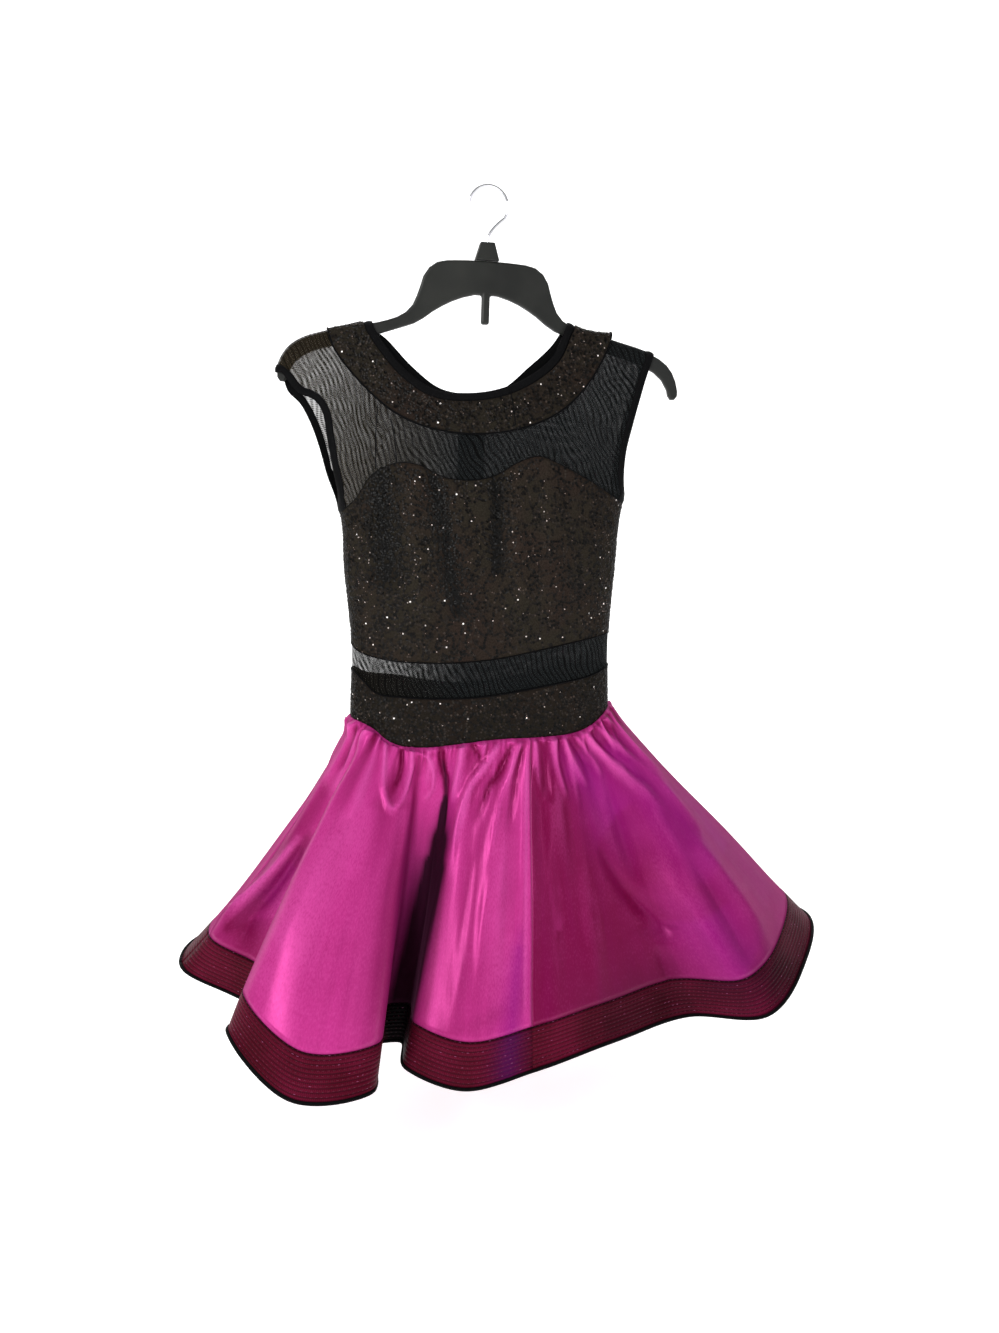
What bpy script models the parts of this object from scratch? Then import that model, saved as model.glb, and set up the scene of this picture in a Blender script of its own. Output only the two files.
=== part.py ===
"""Sleeveless dance costume on a plastic hanger: a sequined bodice with a cup-shaped top, net yoke and
midriff, a flat collar round the neck and a full gathered skirt with a stiff braid at its hem.

The origin is the inner top of the hanger's hook, +Z is up and the costume's front faces -Y.
Sizes are in millimetres and are turned into metres where the meshes are made.
"""
import math

import bmesh
import bpy
import numpy as np

MM = 0.001
COLLECTION = "dance_costume"
CUTTERS = "cutters"
SHARP_ANGLE = math.radians(50)

# Hanger: a flat moulded frame, low on its right by a small tilt
HANGER_TILT = math.radians(2.0)
HANGER_THICKNESS = 8.0
HANGER_EDGE = 2.2
HANGER_CORNER = math.radians(60)
FLAT_ANGLE = math.radians(0.5)
WELD = 0.01
CAP_TOP = 55.4
CAP_HEIGHT = 18.2
CAP_TOP_WIDTH = 15.0
CAP_FOOT_WIDTH = 26.0
CAP_THICKNESS = 11.0
CAP_EDGE = 1.0
PEG_WIDTH = 8.6
PEG_FOOT = 138.4
TOP_OUTLINE_CELLS = 26
FOOT_OUTLINE_CELLS = 18
HOOK_WIRE = 3.4
HOOK_INNER_RADIUS = 19.0
HOOK_TURNS = (195.0, -32.0)
HOOK_POINTS = 19
STEM_POINTS = 13
BORE_SIDES = 16
HOOK_STEM = ((10.5, -36.0), (3.5, -44.0), (0.4, -50.0), (0.0, -57.0), (0.0, -73.2))
TOUCH = 0.3
# Half of the frame's outline, from the middle outwards: distance from the middle, drop below the seat
BAR_TOP = ((0, 73.9), (28, 74.6), (50, 77.0), (59, 82.0), (66, 91.0), (71.5, 108.0), (79, 124.5))
ARM_TOP = ((88, 132.5), (98, 137.2), (113, 141.8), (130, 145.6), (150, 150.4), (172, 155.9), (190, 162.0),
           (204, 171.0), (213, 183.5), (217.4, 198.0))
ARM_TIP = ((217.2, 203.0), (214.4, 207.0), (210.0, 207.2), (206.9, 203.4))
ARM_FOOT = ((205.2, 197.0), (198, 186.0), (184, 176.2), (163, 169.2), (138, 162.5), (108, 152.5), (90, 146.4),
            (72, 139.5), (52, 125.4), (30, 114.0), (12, 108.8))

# Cloth walls, each as the distance of its inner and outer face from the body's surface
NET_WALL = (0.0, 1.0)
SEQUIN_WALL = (0.0, 1.4)
COLLAR_WALL = (1.3, 2.8)
PLACKET_WALL = (1.3, 2.5)
BINDING_WALL = (-0.2, 2.2)
SATIN_WALL = (0.0, 1.2)
BRAID_WALL = (-0.2, 1.4)
HEM_EDGE_WALL = (-0.9, 2.1)
SEAM_GAP = 0.3

# Body of the costume as it hangs: height, left side, right side, depth of the front, depth of the back
BODY = ((-150, -250, 238, 20, 16), (-205, -232, 206, 27, 20), (-260, -199, 174, 40, 28),
        (-333, -163, 147, 50, 36), (-400, -159, 140.5, 52, 42), (-476, -153.5, 134.8, 50, 46),
        (-560, -156.5, 135.6, 52, 48), (-620, -158.5, 137.6, 54, 50))
SQUARENESS = 2.35
SEARCH_HEIGHTS = (-640.0, -250.0)
SEARCH_STEPS = 24
SHOULDER_CLEARANCE = 1.0
SHOULDER_ROLL = 6.5
SHOULDER_FALL = 110.0
ROLL_STEPS = (0.0, 30.0, 60.0, 90.0)

# Soft upright folds of the bodice's front: x at the top, x at the foot, height of each end, rise, half width
FRONT_FOLDS = ((-138, -118, -300, -470, 2.2, 15), (-98, -72, -292, -480, 2.6, 13), (-42, -24, -305, -476, 3.0, 15),
               (18, 30, -290, -484, 2.8, 10), (62, 66, -288, -470, 2.4, 14), (108, 104, -312, -468, 1.8, 13))
BACK_FOLDS = ((-120, -104, -330, -474, 2.0, 16), (-66, -52, -318, -484, 2.6, 15), (8, 14, -316, -478, 2.4, 16),
              (70, 66, -322, -476, 2.2, 14))

# Edges that start and end on the shoulder seam: x on the seam, points between, x on the other seam
NECK_SEAMS = (-124.4, 84.8)
NECK_FRONT = ((-112, -162.0), (-90, -188.8), (-62, -207.6), (-30, -211.4), (5, -207.0), (38, -193.5), (66, -171.5))
NECK_BACK = ((-110, -153.0), (-82, -181.0), (-52, -203.0), (-20, -208.8), (14, -205.0), (46, -180.0), (70, -158.0))
NECK_BINDING = 9.0
COLLAR_SEAMS = (-170.5, 131.5)
COLLAR_FRONT = ((-164, -168.0), (-137, -203.0), (-103, -233.0), (-62, -249.5), (-16, -254.0), (30, -247.5),
                (70, -231.0), (100, -205.0), (122, -173.0))
COLLAR_BACK = ((-162, -166.0), (-134, -201.0), (-100, -229.0), (-60, -244.0), (-18, -248.0), (26, -242.0),
               (66, -225.0), (98, -198.0), (121, -168.0))

# Free edges of the armholes, from the shoulder down to the side seam
ARMHOLE_BINDING = 8.0
ARMHOLE_SEAMS_FROM_TIPS = (5.0, 57.0)
ARMPITS = (-329.0, -321.0)
ARMPIT_REACH = 14.0
LEFT_ARMHOLE_FRONT = ((-203, -211.5), (-187, -218.6), (-178.5, -231.0), (-174.3, -258.0), (-169, -290.0),
                      (-164.5, -313.0))
LEFT_ARMHOLE_BACK = ((-214, -209.0), (-202, -221.0), (-191.5, -241.0), (-183, -266.0), (-175, -296.0),
                     (-167.5, -317.0))
RIGHT_ARMHOLE_FRONT = ((171, -193.0), (163, -217.0), (154.5, -244.0), (147.5, -268.0), (145.0, -290.0),
                       (146.0, -307.0))
RIGHT_ARMHOLE_BACK = ((174, -196.0), (166, -220.0), (159, -244.0), (153.5, -268.0), (150.5, -290.0),
                      (149.0, -307.0))

# Heights of the edges at the left and the right side seam, shared by front and back
SIDE_HEIGHTS = {"top": (-337.0, -329.0), "bodice foot": (-477.0, -471.5), "band top": (-508.0, -508.5),
                "waist": (-560.0, -556.0)}
# Edges that run from side seam to side seam: x and height
CUPS_FRONT = ((-165, -337.5), (-155, -329.0), (-146, -320.0), (-129, -295.5), (-103, -283.5), (-79, -286.0),
              (-57, -297.5), (-28, -301.5), (0, -296.5), (22, -284.0), (47, -276.5), (72, -286.0), (103, -302.0),
              (132, -319.0), (149, -329.0))
BODICE_TOP_BACK = ((-165, -337.5), (-150, -331.0), (-120, -318.0), (-75, -309.0), (-16, -306.0), (45, -307.0),
                   (95, -314.0), (132, -323.0), (149, -329.0))
BODICE_FOOT_FRONT = ((-155, -476.5), (-146, -484.5), (-117, -492.0), (-80, -494.8), (-40, -495.0), (0, -492.0),
                     (40, -485.5), (83, -478.0), (118, -473.0), (137, -471.0))
BODICE_FOOT_BACK = ((-155, -476.5), (-120, -490.0), (-60, -500.0), (-10, -502.0), (50, -495.0), (100, -481.0),
                    (137, -471.0))
BAND_TOP_FRONT = ((-152, -507.0), (-141, -518.0), (-129, -529.0), (-100, -532.5), (-55, -534.2), (-18, -533.3),
                  (20, -529.0), (64, -522.8), (107, -516.8), (137, -508.0))
BAND_TOP_BACK = ((-152, -507.0), (-138, -517.0), (-105, -523.5), (-73, -531.0), (-29, -537.0), (8, -535.2),
                 (42, -529.0), (80, -520.0), (118, -512.6), (137, -508.0))
WAIST_FRONT = ((-158, -559.5), (-144, -563.0), (-131, -570.0), (-120, -579.5), (-104, -586.0), (-78, -587.5),
               (-40, -584.2), (0, -580.6), (60, -580.6), (88, -579.0), (108, -573.5), (124, -564.5), (137, -555.0))
WAIST_BACK = ((-158, -559.5), (-130, -572.0), (-90, -584.0), (-30, -589.0), (40, -586.0), (95, -574.0),
              (137, -555.0))

# Columns of cloth between the seams: the front's turn at its skirt seam, and cells to each side of it
SKIRT_SEAM_TURN = 15.5
COLUMNS_LEFT = 16
COLUMNS_RIGHT = 10
ARMHOLE_COLUMNS = 6
ARMPIT_COLUMNS = 3
COLLAR_ROWS = 2
YOKE_ROWS = 6
BODICE_ROWS = 5
BAND_ROWS = 2
PLACKET_HALF_WIDTH = 15.0
PLACKET_X = -16.0

# Skirt: slant length of the satin and of the braid below it
SATIN_LENGTH = 335.0
BRAID_LENGTH = 46.0
HEM_EDGE_LENGTH = 4.0
SKIRT_STEPS = (0.0, 0.03, 0.09, 0.19, 0.33, 0.5, 0.68, 0.85, 1.0)
HEM_STEP = 26.0
CELL_SAMPLES = 9
STAND = 0.012
PUCKER_RISE = 2.6
PUCKER_REACH = 0.17
CELLS_PER_PUCKER = 2
# Hem, one row for each fold: turn at the waist, across, forwards (-) or back (+), height, bow of the fold
HEM_FOLDS = ((-88, -358, 26, -862, -0.18), (-77, -300, -4, -884, -0.16), (-64, -236, -42, -902, -0.15),
             (-53, -288, -176, -836, 0.15), (-41, -226, -238, -878, 0.10), (-31, -152, -222, -888, -0.05),
             (-23, -143, -104, -904, -0.20), (-17, -114, -98, -906, -0.20), (-8, -112, -178, -892, -0.10),
             (2, -58, -198, -908, 0.00),
             (15.5, 17, -181, -905, 0.00), (33, 108, -149, -899, 0.00), (51, 210, -112, -896, -0.05),
             (63, 290, -138, -889, 0.05), (76, 360, -78, -860, 0.05), (88, 402, 8, -840, 0.00),
             (99, 360, 100, -858, 0.00), (110, 250, 92, -898, -0.15), (122, 262, 196, -872, 0.05),
             (134, 184, 236, -882, 0.05), (145, 116, 122, -904, -0.20), (157, 78, 214, -890, 0.00),
             (171, -6, 236, -896, 0.00), (184, -62, 120, -910, -0.20), (196, -108, 208, -890, 0.00),
             (210, -196, 232, -878, 0.05), (222, -222, 110, -902, -0.15), (236, -276, 176, -876, 0.05),
             (252, -346, 112, -862, -0.10))

# Finishes: colour, roughness, metallic
FINISHES = {"black_plastic": ((0.035, 0.037, 0.04, 1), 0.42, 0.0), "steel": ((0.72, 0.72, 0.74, 1), 0.25, 1.0),
            "net": ((0.012, 0.012, 0.015, 1), 0.8, 0.0), "black_jersey": ((0.008, 0.008, 0.011, 1), 0.75, 0.0),
            "sequins": ((0.035, 0.026, 0.023, 1), 0.4, 0.1), "satin": ((0.5, 0.03, 0.26, 1), 0.35, 0.0),
            "braid": ((0.075, 0.012, 0.05, 1), 0.45, 0.1)}


def clear_scene():
    for item in list(bpy.data.objects):
        bpy.data.objects.remove(item)


def make_finishes():
    materials = {}
    for name, (colour, roughness, metallic) in FINISHES.items():
        material = bpy.data.materials.new(name)
        material.use_nodes = True
        shader = material.node_tree.nodes["Principled BSDF"]
        shader.inputs["Base Color"].default_value = colour
        shader.inputs["Roughness"].default_value = roughness
        shader.inputs["Metallic"].default_value = metallic
        materials[name] = material
    return materials


def dense_curve(points, per_span=16):
    """Points close together on a smooth curve through the given ones."""
    points = np.asarray(points, float)
    ends = np.vstack([2 * points[0] - points[1], points, 2 * points[-1] - points[-2]])
    curve = []
    for i in range(1, len(ends) - 2):
        before, start, end, after = ends[i - 1:i + 3]
        knots = np.cumsum([0] + [max(np.linalg.norm(b - a), 1e-9) ** 0.5
                                 for a, b in ((before, start), (start, end), (end, after))])
        for t in np.linspace(knots[1], knots[2], per_span, endpoint=False):
            a1 = blend(before, start, t, knots[0], knots[1])
            a2 = blend(start, end, t, knots[1], knots[2])
            a3 = blend(end, after, t, knots[2], knots[3])
            b1 = blend(a1, a2, t, knots[0], knots[2])
            b2 = blend(a2, a3, t, knots[1], knots[3])
            curve.append(blend(b1, b2, t, knots[1], knots[2]))
    curve.append(points[-1])
    return np.array(curve)


def blend(first, second, t, start, end):
    share = (t - start) / (end - start)
    return first * (1 - share) + second * share


def along(curve, places):
    """Points of a dense curve at the given shares of its length."""
    steps = np.linalg.norm(np.diff(curve, axis=0), axis=1)
    length = np.concatenate([[0], np.cumsum(steps)])
    places = np.asarray(places, float) * length[-1]
    return np.stack([np.interp(places, length, curve[:, k]) for k in range(curve.shape[1])], -1)


def height_on(edge, side, x):
    """Height of a side-to-side edge at a place across the body."""
    curve = EDGE_CURVES[edge, side]
    return float(np.interp(x, curve[:, 0], curve[:, 1]))


def turned(point, angle=HANGER_TILT):
    """A point of the upright hanger, carried round with its tilt."""
    x, z = point
    return x * math.cos(angle) + z * math.sin(angle), z * math.cos(angle) - x * math.sin(angle)


def make_shoulder_line():
    """Upper line of the cloth over the hanger's arms, from the left tip to the right one."""
    right = dense_curve([(x, -drop) for x, drop in ARM_TOP + ARM_TIP[:1]], 12)
    tangent = np.gradient(right, axis=0)
    normal = np.stack([-tangent[:, 1], tangent[:, 0]], -1)
    normal /= np.linalg.norm(normal, axis=1)[:, None]
    right = right + normal * SHOULDER_CLEARANCE
    left = right[::-1] * (-1, 1)
    line = [turned(point) for point in np.vstack([left, right])]
    return np.array(line)


SHOULDER = make_shoulder_line()
SHOULDER_STEPS = np.concatenate([[0], np.cumsum(np.linalg.norm(np.diff(SHOULDER, axis=0), axis=1))])
EDGE_CURVES = {place: dense_curve(points, 8) for place, points in (
    (("top", -1), CUPS_FRONT), (("top", 1), BODICE_TOP_BACK),
    (("bodice foot", -1), BODICE_FOOT_FRONT), (("bodice foot", 1), BODICE_FOOT_BACK),
    (("band top", -1), BAND_TOP_FRONT), (("band top", 1), BAND_TOP_BACK),
    (("waist", -1), WAIST_FRONT), (("waist", 1), WAIST_BACK))}


def shoulder_at(distance):
    """Point of the shoulder line and its upward normal at a distance along it."""
    point = np.array([np.interp(distance, SHOULDER_STEPS, SHOULDER[:, k]) for k in range(2)])
    ahead = np.array([np.interp(distance + 1, SHOULDER_STEPS, SHOULDER[:, k]) for k in range(2)])
    behind = np.array([np.interp(distance - 1, SHOULDER_STEPS, SHOULDER[:, k]) for k in range(2)])
    tangent = (ahead - behind) / np.linalg.norm(ahead - behind)
    return point, np.array([-tangent[1], tangent[0]])


def shoulder_distance(x):
    """Distance along the shoulder line of its point at a place across."""
    return float(np.interp(x, SHOULDER[:, 0], SHOULDER_STEPS))


def below_shoulder(x, z):
    """Shortest distance to the shoulder line, and the upward normal there."""
    start, end = SHOULDER[:-1], SHOULDER[1:]
    span = end - start
    share = np.sum((np.array([x, z]) - start) * span, axis=1) / np.sum(span * span, axis=1)
    foot = start + span * np.clip(share, 0, 1)[:, None]
    away = foot - (x, z)
    distance = np.linalg.norm(away, axis=1)
    nearest = int(np.argmin(distance))
    normal = np.array([-span[nearest, 1], span[nearest, 0]]) / np.linalg.norm(span[nearest])
    return float(distance[nearest]), normal


BODY_CURVE = dense_curve(BODY, 10)


def body_at(height):
    """Left side, right side, front depth and back depth of the body at a height."""
    return [float(np.interp(-height, -BODY_CURVE[:, 0], BODY_CURVE[:, k])) for k in range(1, 5)]


def across(turn, height):
    left, right = body_at(height)[:2]
    wave = math.copysign(abs(math.sin(turn)) ** (2 / SQUARENESS), turn)
    return (left + right) / 2 + (right - left) / 2 * wave


def turn_of(x, height):
    left, right = body_at(height)[:2]
    share = (x - (left + right) / 2) / ((right - left) / 2)
    share = max(-1.0, min(1.0, share))
    return math.copysign(math.asin(abs(share) ** (SQUARENESS / 2)), share)


def fold_rise(side, x, z):
    rise = 0.0
    for top_x, foot_x, top, foot, height, width in (FRONT_FOLDS if side < 0 else BACK_FOLDS):
        share = (top - z) / (top - foot)
        if 0 < share < 1:
            offset = (x - top_x - (foot_x - top_x) * share) / width
            rise += height * math.exp(-offset * offset) * math.sin(math.pi * share) ** 0.7
    return rise


def surface(side, turn, z):
    """Point of the body's surface: side -1 in front and +1 behind, turn -90 to 90 degrees across it."""
    x = across(turn, z)
    front, back = body_at(z)[2:]
    depth = front if side < 0 else back
    depth *= math.copysign(abs(math.cos(turn)) ** (2 / SQUARENESS), math.cos(turn))
    fall = below_shoulder(x, z)[0]
    inside = SHOULDER_ROLL - min(fall, SHOULDER_ROLL)
    roll = math.sqrt(SHOULDER_ROLL ** 2 - inside ** 2)
    ease = 1 - (1 - min(fall / SHOULDER_FALL, 1)) ** 2
    rise = fold_rise(side, x, z) * abs(math.cos(turn)) ** 0.5
    return np.array([x, side * (roll + (depth - SHOULDER_ROLL) * ease + rise), z])


def surface_normal(side, turn, z):
    step_turn, step_z = 2e-4, 0.02
    level = surface(side, turn + step_turn, z) - surface(side, turn - step_turn, z)
    upright = surface(side, turn, z + step_z) - surface(side, turn, z - step_z)
    normal = np.cross(level, upright) * -side
    return normal / np.linalg.norm(normal)


def roll_points(distance):
    """Points square to the shoulder seam, down over the roll of the cloth on the arm."""
    point, normal = shoulder_at(distance)
    falls = [SHOULDER_ROLL * (1 - math.cos(math.radians(step))) for step in ROLL_STEPS]
    return [point - normal * fall for fall in falls]


def seam_to_seam(seams, points):
    """Edge from one shoulder seam to the other, as points in x and z, with close ones on the rolls."""
    first = roll_points(seams[0])
    last = roll_points(seams[1])[::-1]
    cells = YOKE_COLUMNS - 2 * (len(ROLL_STEPS) - 1)
    middle = along(dense_curve([first[-1], *points, last[0]]), np.linspace(0, 1, cells + 1))
    return np.array(first[:-1] + list(middle) + last[1:])


def beside(edge, seams, width):
    """A seam-to-seam edge moved down over the body by a width."""
    tangent = np.gradient(edge, axis=0)
    normal = np.stack([tangent[:, 1], -tangent[:, 0]], -1)
    moved = edge + normal / np.linalg.norm(normal, axis=1)[:, None] * width
    rolls = len(ROLL_STEPS)
    moved[:rolls] = roll_points(seams[0])
    moved[-rolls:] = roll_points(seams[1])[::-1]
    return moved


def lay_rows(first, last, first_seams, last_seams, shares):
    """Rows from one edge to another, whose outer columns follow the shoulder seams."""
    rolls = len(ROLL_STEPS)
    reach = len(first) // 4
    rows = []
    for share in shares:
        row = first * (1 - share) + last * share
        for end, inward in ((0, 1), (1, -1)):
            on_roll = roll_points(first_seams[end] * (1 - share) + last_seams[end] * share)
            columns = [inward * step - end for step in range(rolls + reach)]
            shift = on_roll[-1] - row[columns[rolls - 1]]
            for step, column in enumerate(columns):
                if step < rolls:
                    row[column] = on_roll[step]
                else:
                    row[column] += shift * (1 - (step - rolls + 1) / (reach + 1)) ** 2
        rows.append(row)
    return rows


def turns_of(rows):
    """Rows of x and z as rows of turn and height."""
    return [np.array([(turn_of(x, z), z) for x, z in row]) for row in rows]


def lift(side, rows, seam_columns=()):
    """Rows of turn and height as points on the body with their normals; seam columns lie on the shoulder seam."""
    points = np.array([[surface(side, turn, z) for turn, z in row] for row in rows])
    normals = np.array([[surface_normal(side, turn, z) for turn, z in row] for row in rows])
    for column in seam_columns:
        for r in range(len(rows)):
            x, _, z = points[r, column]
            normal = below_shoulder(x, z)[1]
            points[r, column] = (x, 0, z)
            normals[r, column] = (normal[0], 0, normal[1])
    return points, normals


def draw_in(points, normals, edges):
    """The panel with the named edges drawn in by half a seam gap."""
    whole = slice(None)
    places = {"top": ((0, whole), (1, whole)), "foot": ((-1, whole), (-2, whole)),
              "left": ((whole, 0), (whole, 1)), "right": ((whole, -1), (whole, -2))}
    moved = points.copy()
    for edge in edges:
        pick, neighbour = places[edge]
        inward = np.cross(normals[pick], np.gradient(points[pick], axis=0))
        inward /= np.linalg.norm(inward, axis=1)[:, None]
        sense = math.copysign(1, np.sum(inward * (points[neighbour] - points[pick])))
        moved[pick] += inward * sense * SEAM_GAP / 2
    return moved


def make_wall(name, points, normals, wall, material, edges=("top", "foot", "left", "right")):
    """Closed cloth wall over a grid of points, between two distances from it."""
    points = draw_in(points, normals, edges)
    rows, columns = points.shape[:2]
    mesh = bmesh.new()
    inner, outer = ([[mesh.verts.new((points[r, c] + normals[r, c] * face) * MM) for c in range(columns)]
                     for r in range(rows)] for face in wall)
    for r in range(rows - 1):
        for c in range(columns - 1):
            for layer, order in ((outer, 1), (inner, -1)):
                corner, below, across_below, beside_it = (layer[r][c], layer[r + 1][c], layer[r + 1][c + 1],
                                                          layer[r][c + 1])
                mesh.faces.new((corner, below, across_below)[::order])
                mesh.faces.new((corner, across_below, beside_it)[::order])
    rim = [(0, c) for c in range(columns - 1)] + [(r, columns - 1) for r in range(rows - 1)]
    rim += [(rows - 1, c) for c in range(columns - 1, 0, -1)] + [(r, 0) for r in range(rows - 1, 0, -1)]
    for (r1, c1), (r2, c2) in zip(rim, rim[1:] + rim[:1]):
        mesh.faces.new((outer[r1][c1], outer[r2][c2], inner[r2][c2]))
        mesh.faces.new((outer[r1][c1], inner[r2][c2], inner[r1][c1]))
    bmesh.ops.recalc_face_normals(mesh, faces=mesh.faces[:])
    add_mesh(name, mesh, material)


def add_mesh(name, mesh, material):
    data = bpy.data.meshes.new(name)
    mesh.to_mesh(data)
    mesh.free()
    data.shade_smooth()
    data.set_sharp_from_angle(angle=SHARP_ANGLE)
    return add_object(name, data, material)


def add_object(name, data, material):
    data.materials.append(material)
    item = bpy.data.objects.new(name, data)
    bpy.data.collections[COLLECTION].objects.link(item)
    return item


def front_turns():
    """Turns of the front's columns, closer on the left of the skirt's front seam."""
    left = np.linspace(-90, SKIRT_SEAM_TURN, COLUMNS_LEFT + 1)
    right = np.linspace(SKIRT_SEAM_TURN, 90, COLUMNS_RIGHT + 1)
    return np.radians(np.concatenate([left, right[1:]]))


def back_turns():
    return np.radians(np.linspace(-90, 90, COLUMNS_LEFT + COLUMNS_RIGHT + 1))


def side_to_side(edge, side, turns):
    """Turn and height of an edge's points, one for each column of the body."""
    line = []
    for turn in turns:
        low, high = SEARCH_HEIGHTS
        for _ in range(SEARCH_STEPS):
            middle = (low + high) / 2
            if height_on(edge, side, across(turn, middle)) > middle:
                low = middle
            else:
                high = middle
        line.append((turn, middle))
    line[0] = (turns[0], SIDE_HEIGHTS[edge][0])
    line[-1] = (turns[-1], SIDE_HEIGHTS[edge][1])
    return np.array(line)


def between(first, last, count):
    return [first * (1 - share) + last * share for share in np.linspace(0, 1, count + 1)]


def armhole_edges(side, end, points, top):
    """Free and sewn edge of an armhole's binding from the shoulder down, as turns and heights."""
    towards_neck = 1 if end == 0 else -1
    rolls = len(ROLL_STEPS)
    free_roll = roll_points(ARMHOLE_SEAMS[end])
    sewn_roll = roll_points(ARMHOLE_SEAMS[end] + towards_neck * ARMHOLE_BINDING)
    foot = (body_at(ARMPITS[end])[end], ARMPITS[end])
    curve = turns_of([dense_curve([free_roll[-1], *points, foot])])[0]
    lifted = lift(side, [curve])[0][0]
    length = np.concatenate([[0], np.cumsum(np.linalg.norm(np.diff(lifted, axis=0), axis=1))])
    corner = length[-1] - ARMPIT_REACH
    places = np.concatenate([np.linspace(0, corner, ARMHOLE_COLUMNS + 1),
                             np.linspace(corner, length[-1], ARMPIT_COLUMNS + 1)[1:]])
    middle = np.stack([np.interp(places, length, curve[:, k]) for k in range(2)], -1)
    free = np.vstack([turns_of([free_roll[:-1]])[0], middle])
    points, normals = (grid[0] for grid in lift(side, [free], [0]))
    aside = np.cross(normals, np.gradient(points, axis=0))
    aside *= ARMHOLE_BINDING / np.linalg.norm(aside, axis=1)[:, None]
    aside *= math.copysign(1, aside[rolls, 0] * towards_neck)
    upper = [turn_near(side, point) for point in (points + aside)[rolls:-ARMPIT_COLUMNS - 1]]
    lower = top[:ARMPIT_COLUMNS + 1][::-1] if end == 0 else top[-ARMPIT_COLUMNS - 1:]
    return free, np.vstack([turns_of([sewn_roll])[0], upper, lower])


def turn_near(side, point):
    """Turn and height of the place on the body nearest to a point close to it."""
    x, y, z = point
    left, right, front, back = body_at(z)
    if below_shoulder(x, z)[0] < SHOULDER_FALL:
        return turn_of(x, z), z
    share = (x - (left + right) / 2) / ((right - left) / 2)
    deep = abs(y) / (front if side < 0 else back)
    wave = math.atan2(abs(share) ** (SQUARENESS / 2), deep ** (SQUARENESS / 2))
    return math.copysign(wave, share), z


def to_places(line):
    """A line of turns and heights as x and z."""
    return np.array([(across(turn, z), z) for turn, z in line])


def make_upper(side, materials):
    """Bindings, collar, yoke and placket of the front (-1) or the back (+1)."""
    front = side < 0
    name = "front" if front else "back"
    turns = front_turns() if front else back_turns()
    neck = seam_to_seam(NECK_SEAM_PLACES, NECK_FRONT if front else NECK_BACK)
    binding_seams = (NECK_SEAM_PLACES[0] - NECK_BINDING, NECK_SEAM_PLACES[1] + NECK_BINDING)
    binding_foot = beside(neck, binding_seams, NECK_BINDING)
    collar = seam_to_seam(COLLAR_SEAM_PLACES, COLLAR_FRONT if front else COLLAR_BACK)
    left_points, right_points = ((LEFT_ARMHOLE_FRONT, RIGHT_ARMHOLE_FRONT) if front
                                 else (LEFT_ARMHOLE_BACK, RIGHT_ARMHOLE_BACK))
    top = side_to_side("top", side, turns)
    left_free, left_sewn = armhole_edges(side, 0, left_points, top)
    right_free, right_sewn = armhole_edges(side, 1, right_points, top)
    to_corner = -ARMPIT_COLUMNS - 1
    outer = to_places(np.vstack([left_sewn[:to_corner], top[ARMPIT_COLUMNS:-ARMPIT_COLUMNS],
                                 right_sewn[:to_corner][::-1]]))
    yoke_seams = (ARMHOLE_SEAMS[0] + ARMHOLE_BINDING, ARMHOLE_SEAMS[1] - ARMHOLE_BINDING)
    rows = lay_rows(binding_foot, collar, binding_seams, COLLAR_SEAM_PLACES, np.linspace(0, 1, COLLAR_ROWS + 1))
    rows += lay_rows(collar, outer, COLLAR_SEAM_PLACES, yoke_seams, np.linspace(0, 1, YOKE_ROWS + 1))[1:]
    yoke = lift(side, turns_of(rows), (0, -1))
    edging = lift(side, turns_of([neck, binding_foot]), (0, -1))
    parts = {"": slice(None)} if front else {"_left": slice(0, YOKE_COLUMNS // 2 + 1),
                                             "_right": slice(YOKE_COLUMNS // 2, None)}
    for suffix, columns in parts.items():
        make_wall("neck_binding_" + name + suffix, *(grid[:, columns] for grid in edging), BINDING_WALL,
                  materials["black_jersey"])
        make_wall("collar_" + name + suffix, *(grid[:COLLAR_ROWS + 1, columns] for grid in yoke), COLLAR_WALL,
                  materials["sequins"])
        make_wall("yoke_" + name + suffix, *(grid[:, columns] for grid in yoke), NET_WALL, materials["net"])
    for label, free, sewn in (("left", left_free, left_sewn), ("right", right_free, right_sewn)):
        make_wall("armhole_binding_" + label + "_" + name, *lift(side, [free, sewn], (0,)), BINDING_WALL,
                  materials["black_jersey"])
    if not front:
        strip = strip_of(yoke, COLLAR_ROWS, PLACKET_X - PLACKET_HALF_WIDTH, PLACKET_X + PLACKET_HALF_WIDTH)
        make_wall("back_placket", *strip, PLACKET_WALL, materials["black_jersey"])


def strip_of(grid, first_row, low, high):
    """Upright strip of a panel between two places across, from a row down, with the panel's own columns."""
    points, normals = grid
    cut_points, cut_normals = [], []
    for line, line_normals in zip(points[first_row:], normals[first_row:]):
        places = [low, (low + high) / 2, high]
        cut_points.append([[np.interp(x, line[:, 0], line[:, k]) for k in range(3)] for x in places])
        cut_normals.append([[np.interp(x, line[:, 0], line_normals[:, k]) for k in range(3)] for x in places])
    return np.array(cut_points), np.array(cut_normals)


def make_lower(side, materials):
    """Bodice, net midriff and waistband of the front (-1) or the back (+1)."""
    name = "front" if side < 0 else "back"
    turns = front_turns() if side < 0 else back_turns()
    edges = [side_to_side(edge, side, turns) for edge in ("top", "bodice foot", "band top", "waist")]
    for i, (label, count, wall, finish) in enumerate((
            ("bodice", BODICE_ROWS, SEQUIN_WALL, "sequins"), ("midriff", 1, NET_WALL, "net"),
            ("waistband", BAND_ROWS, SEQUIN_WALL, "sequins"))):
        rows = between(edges[i], edges[i + 1], count)
        make_wall(label + "_" + name, *lift(side, rows), wall, materials[finish])


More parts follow.
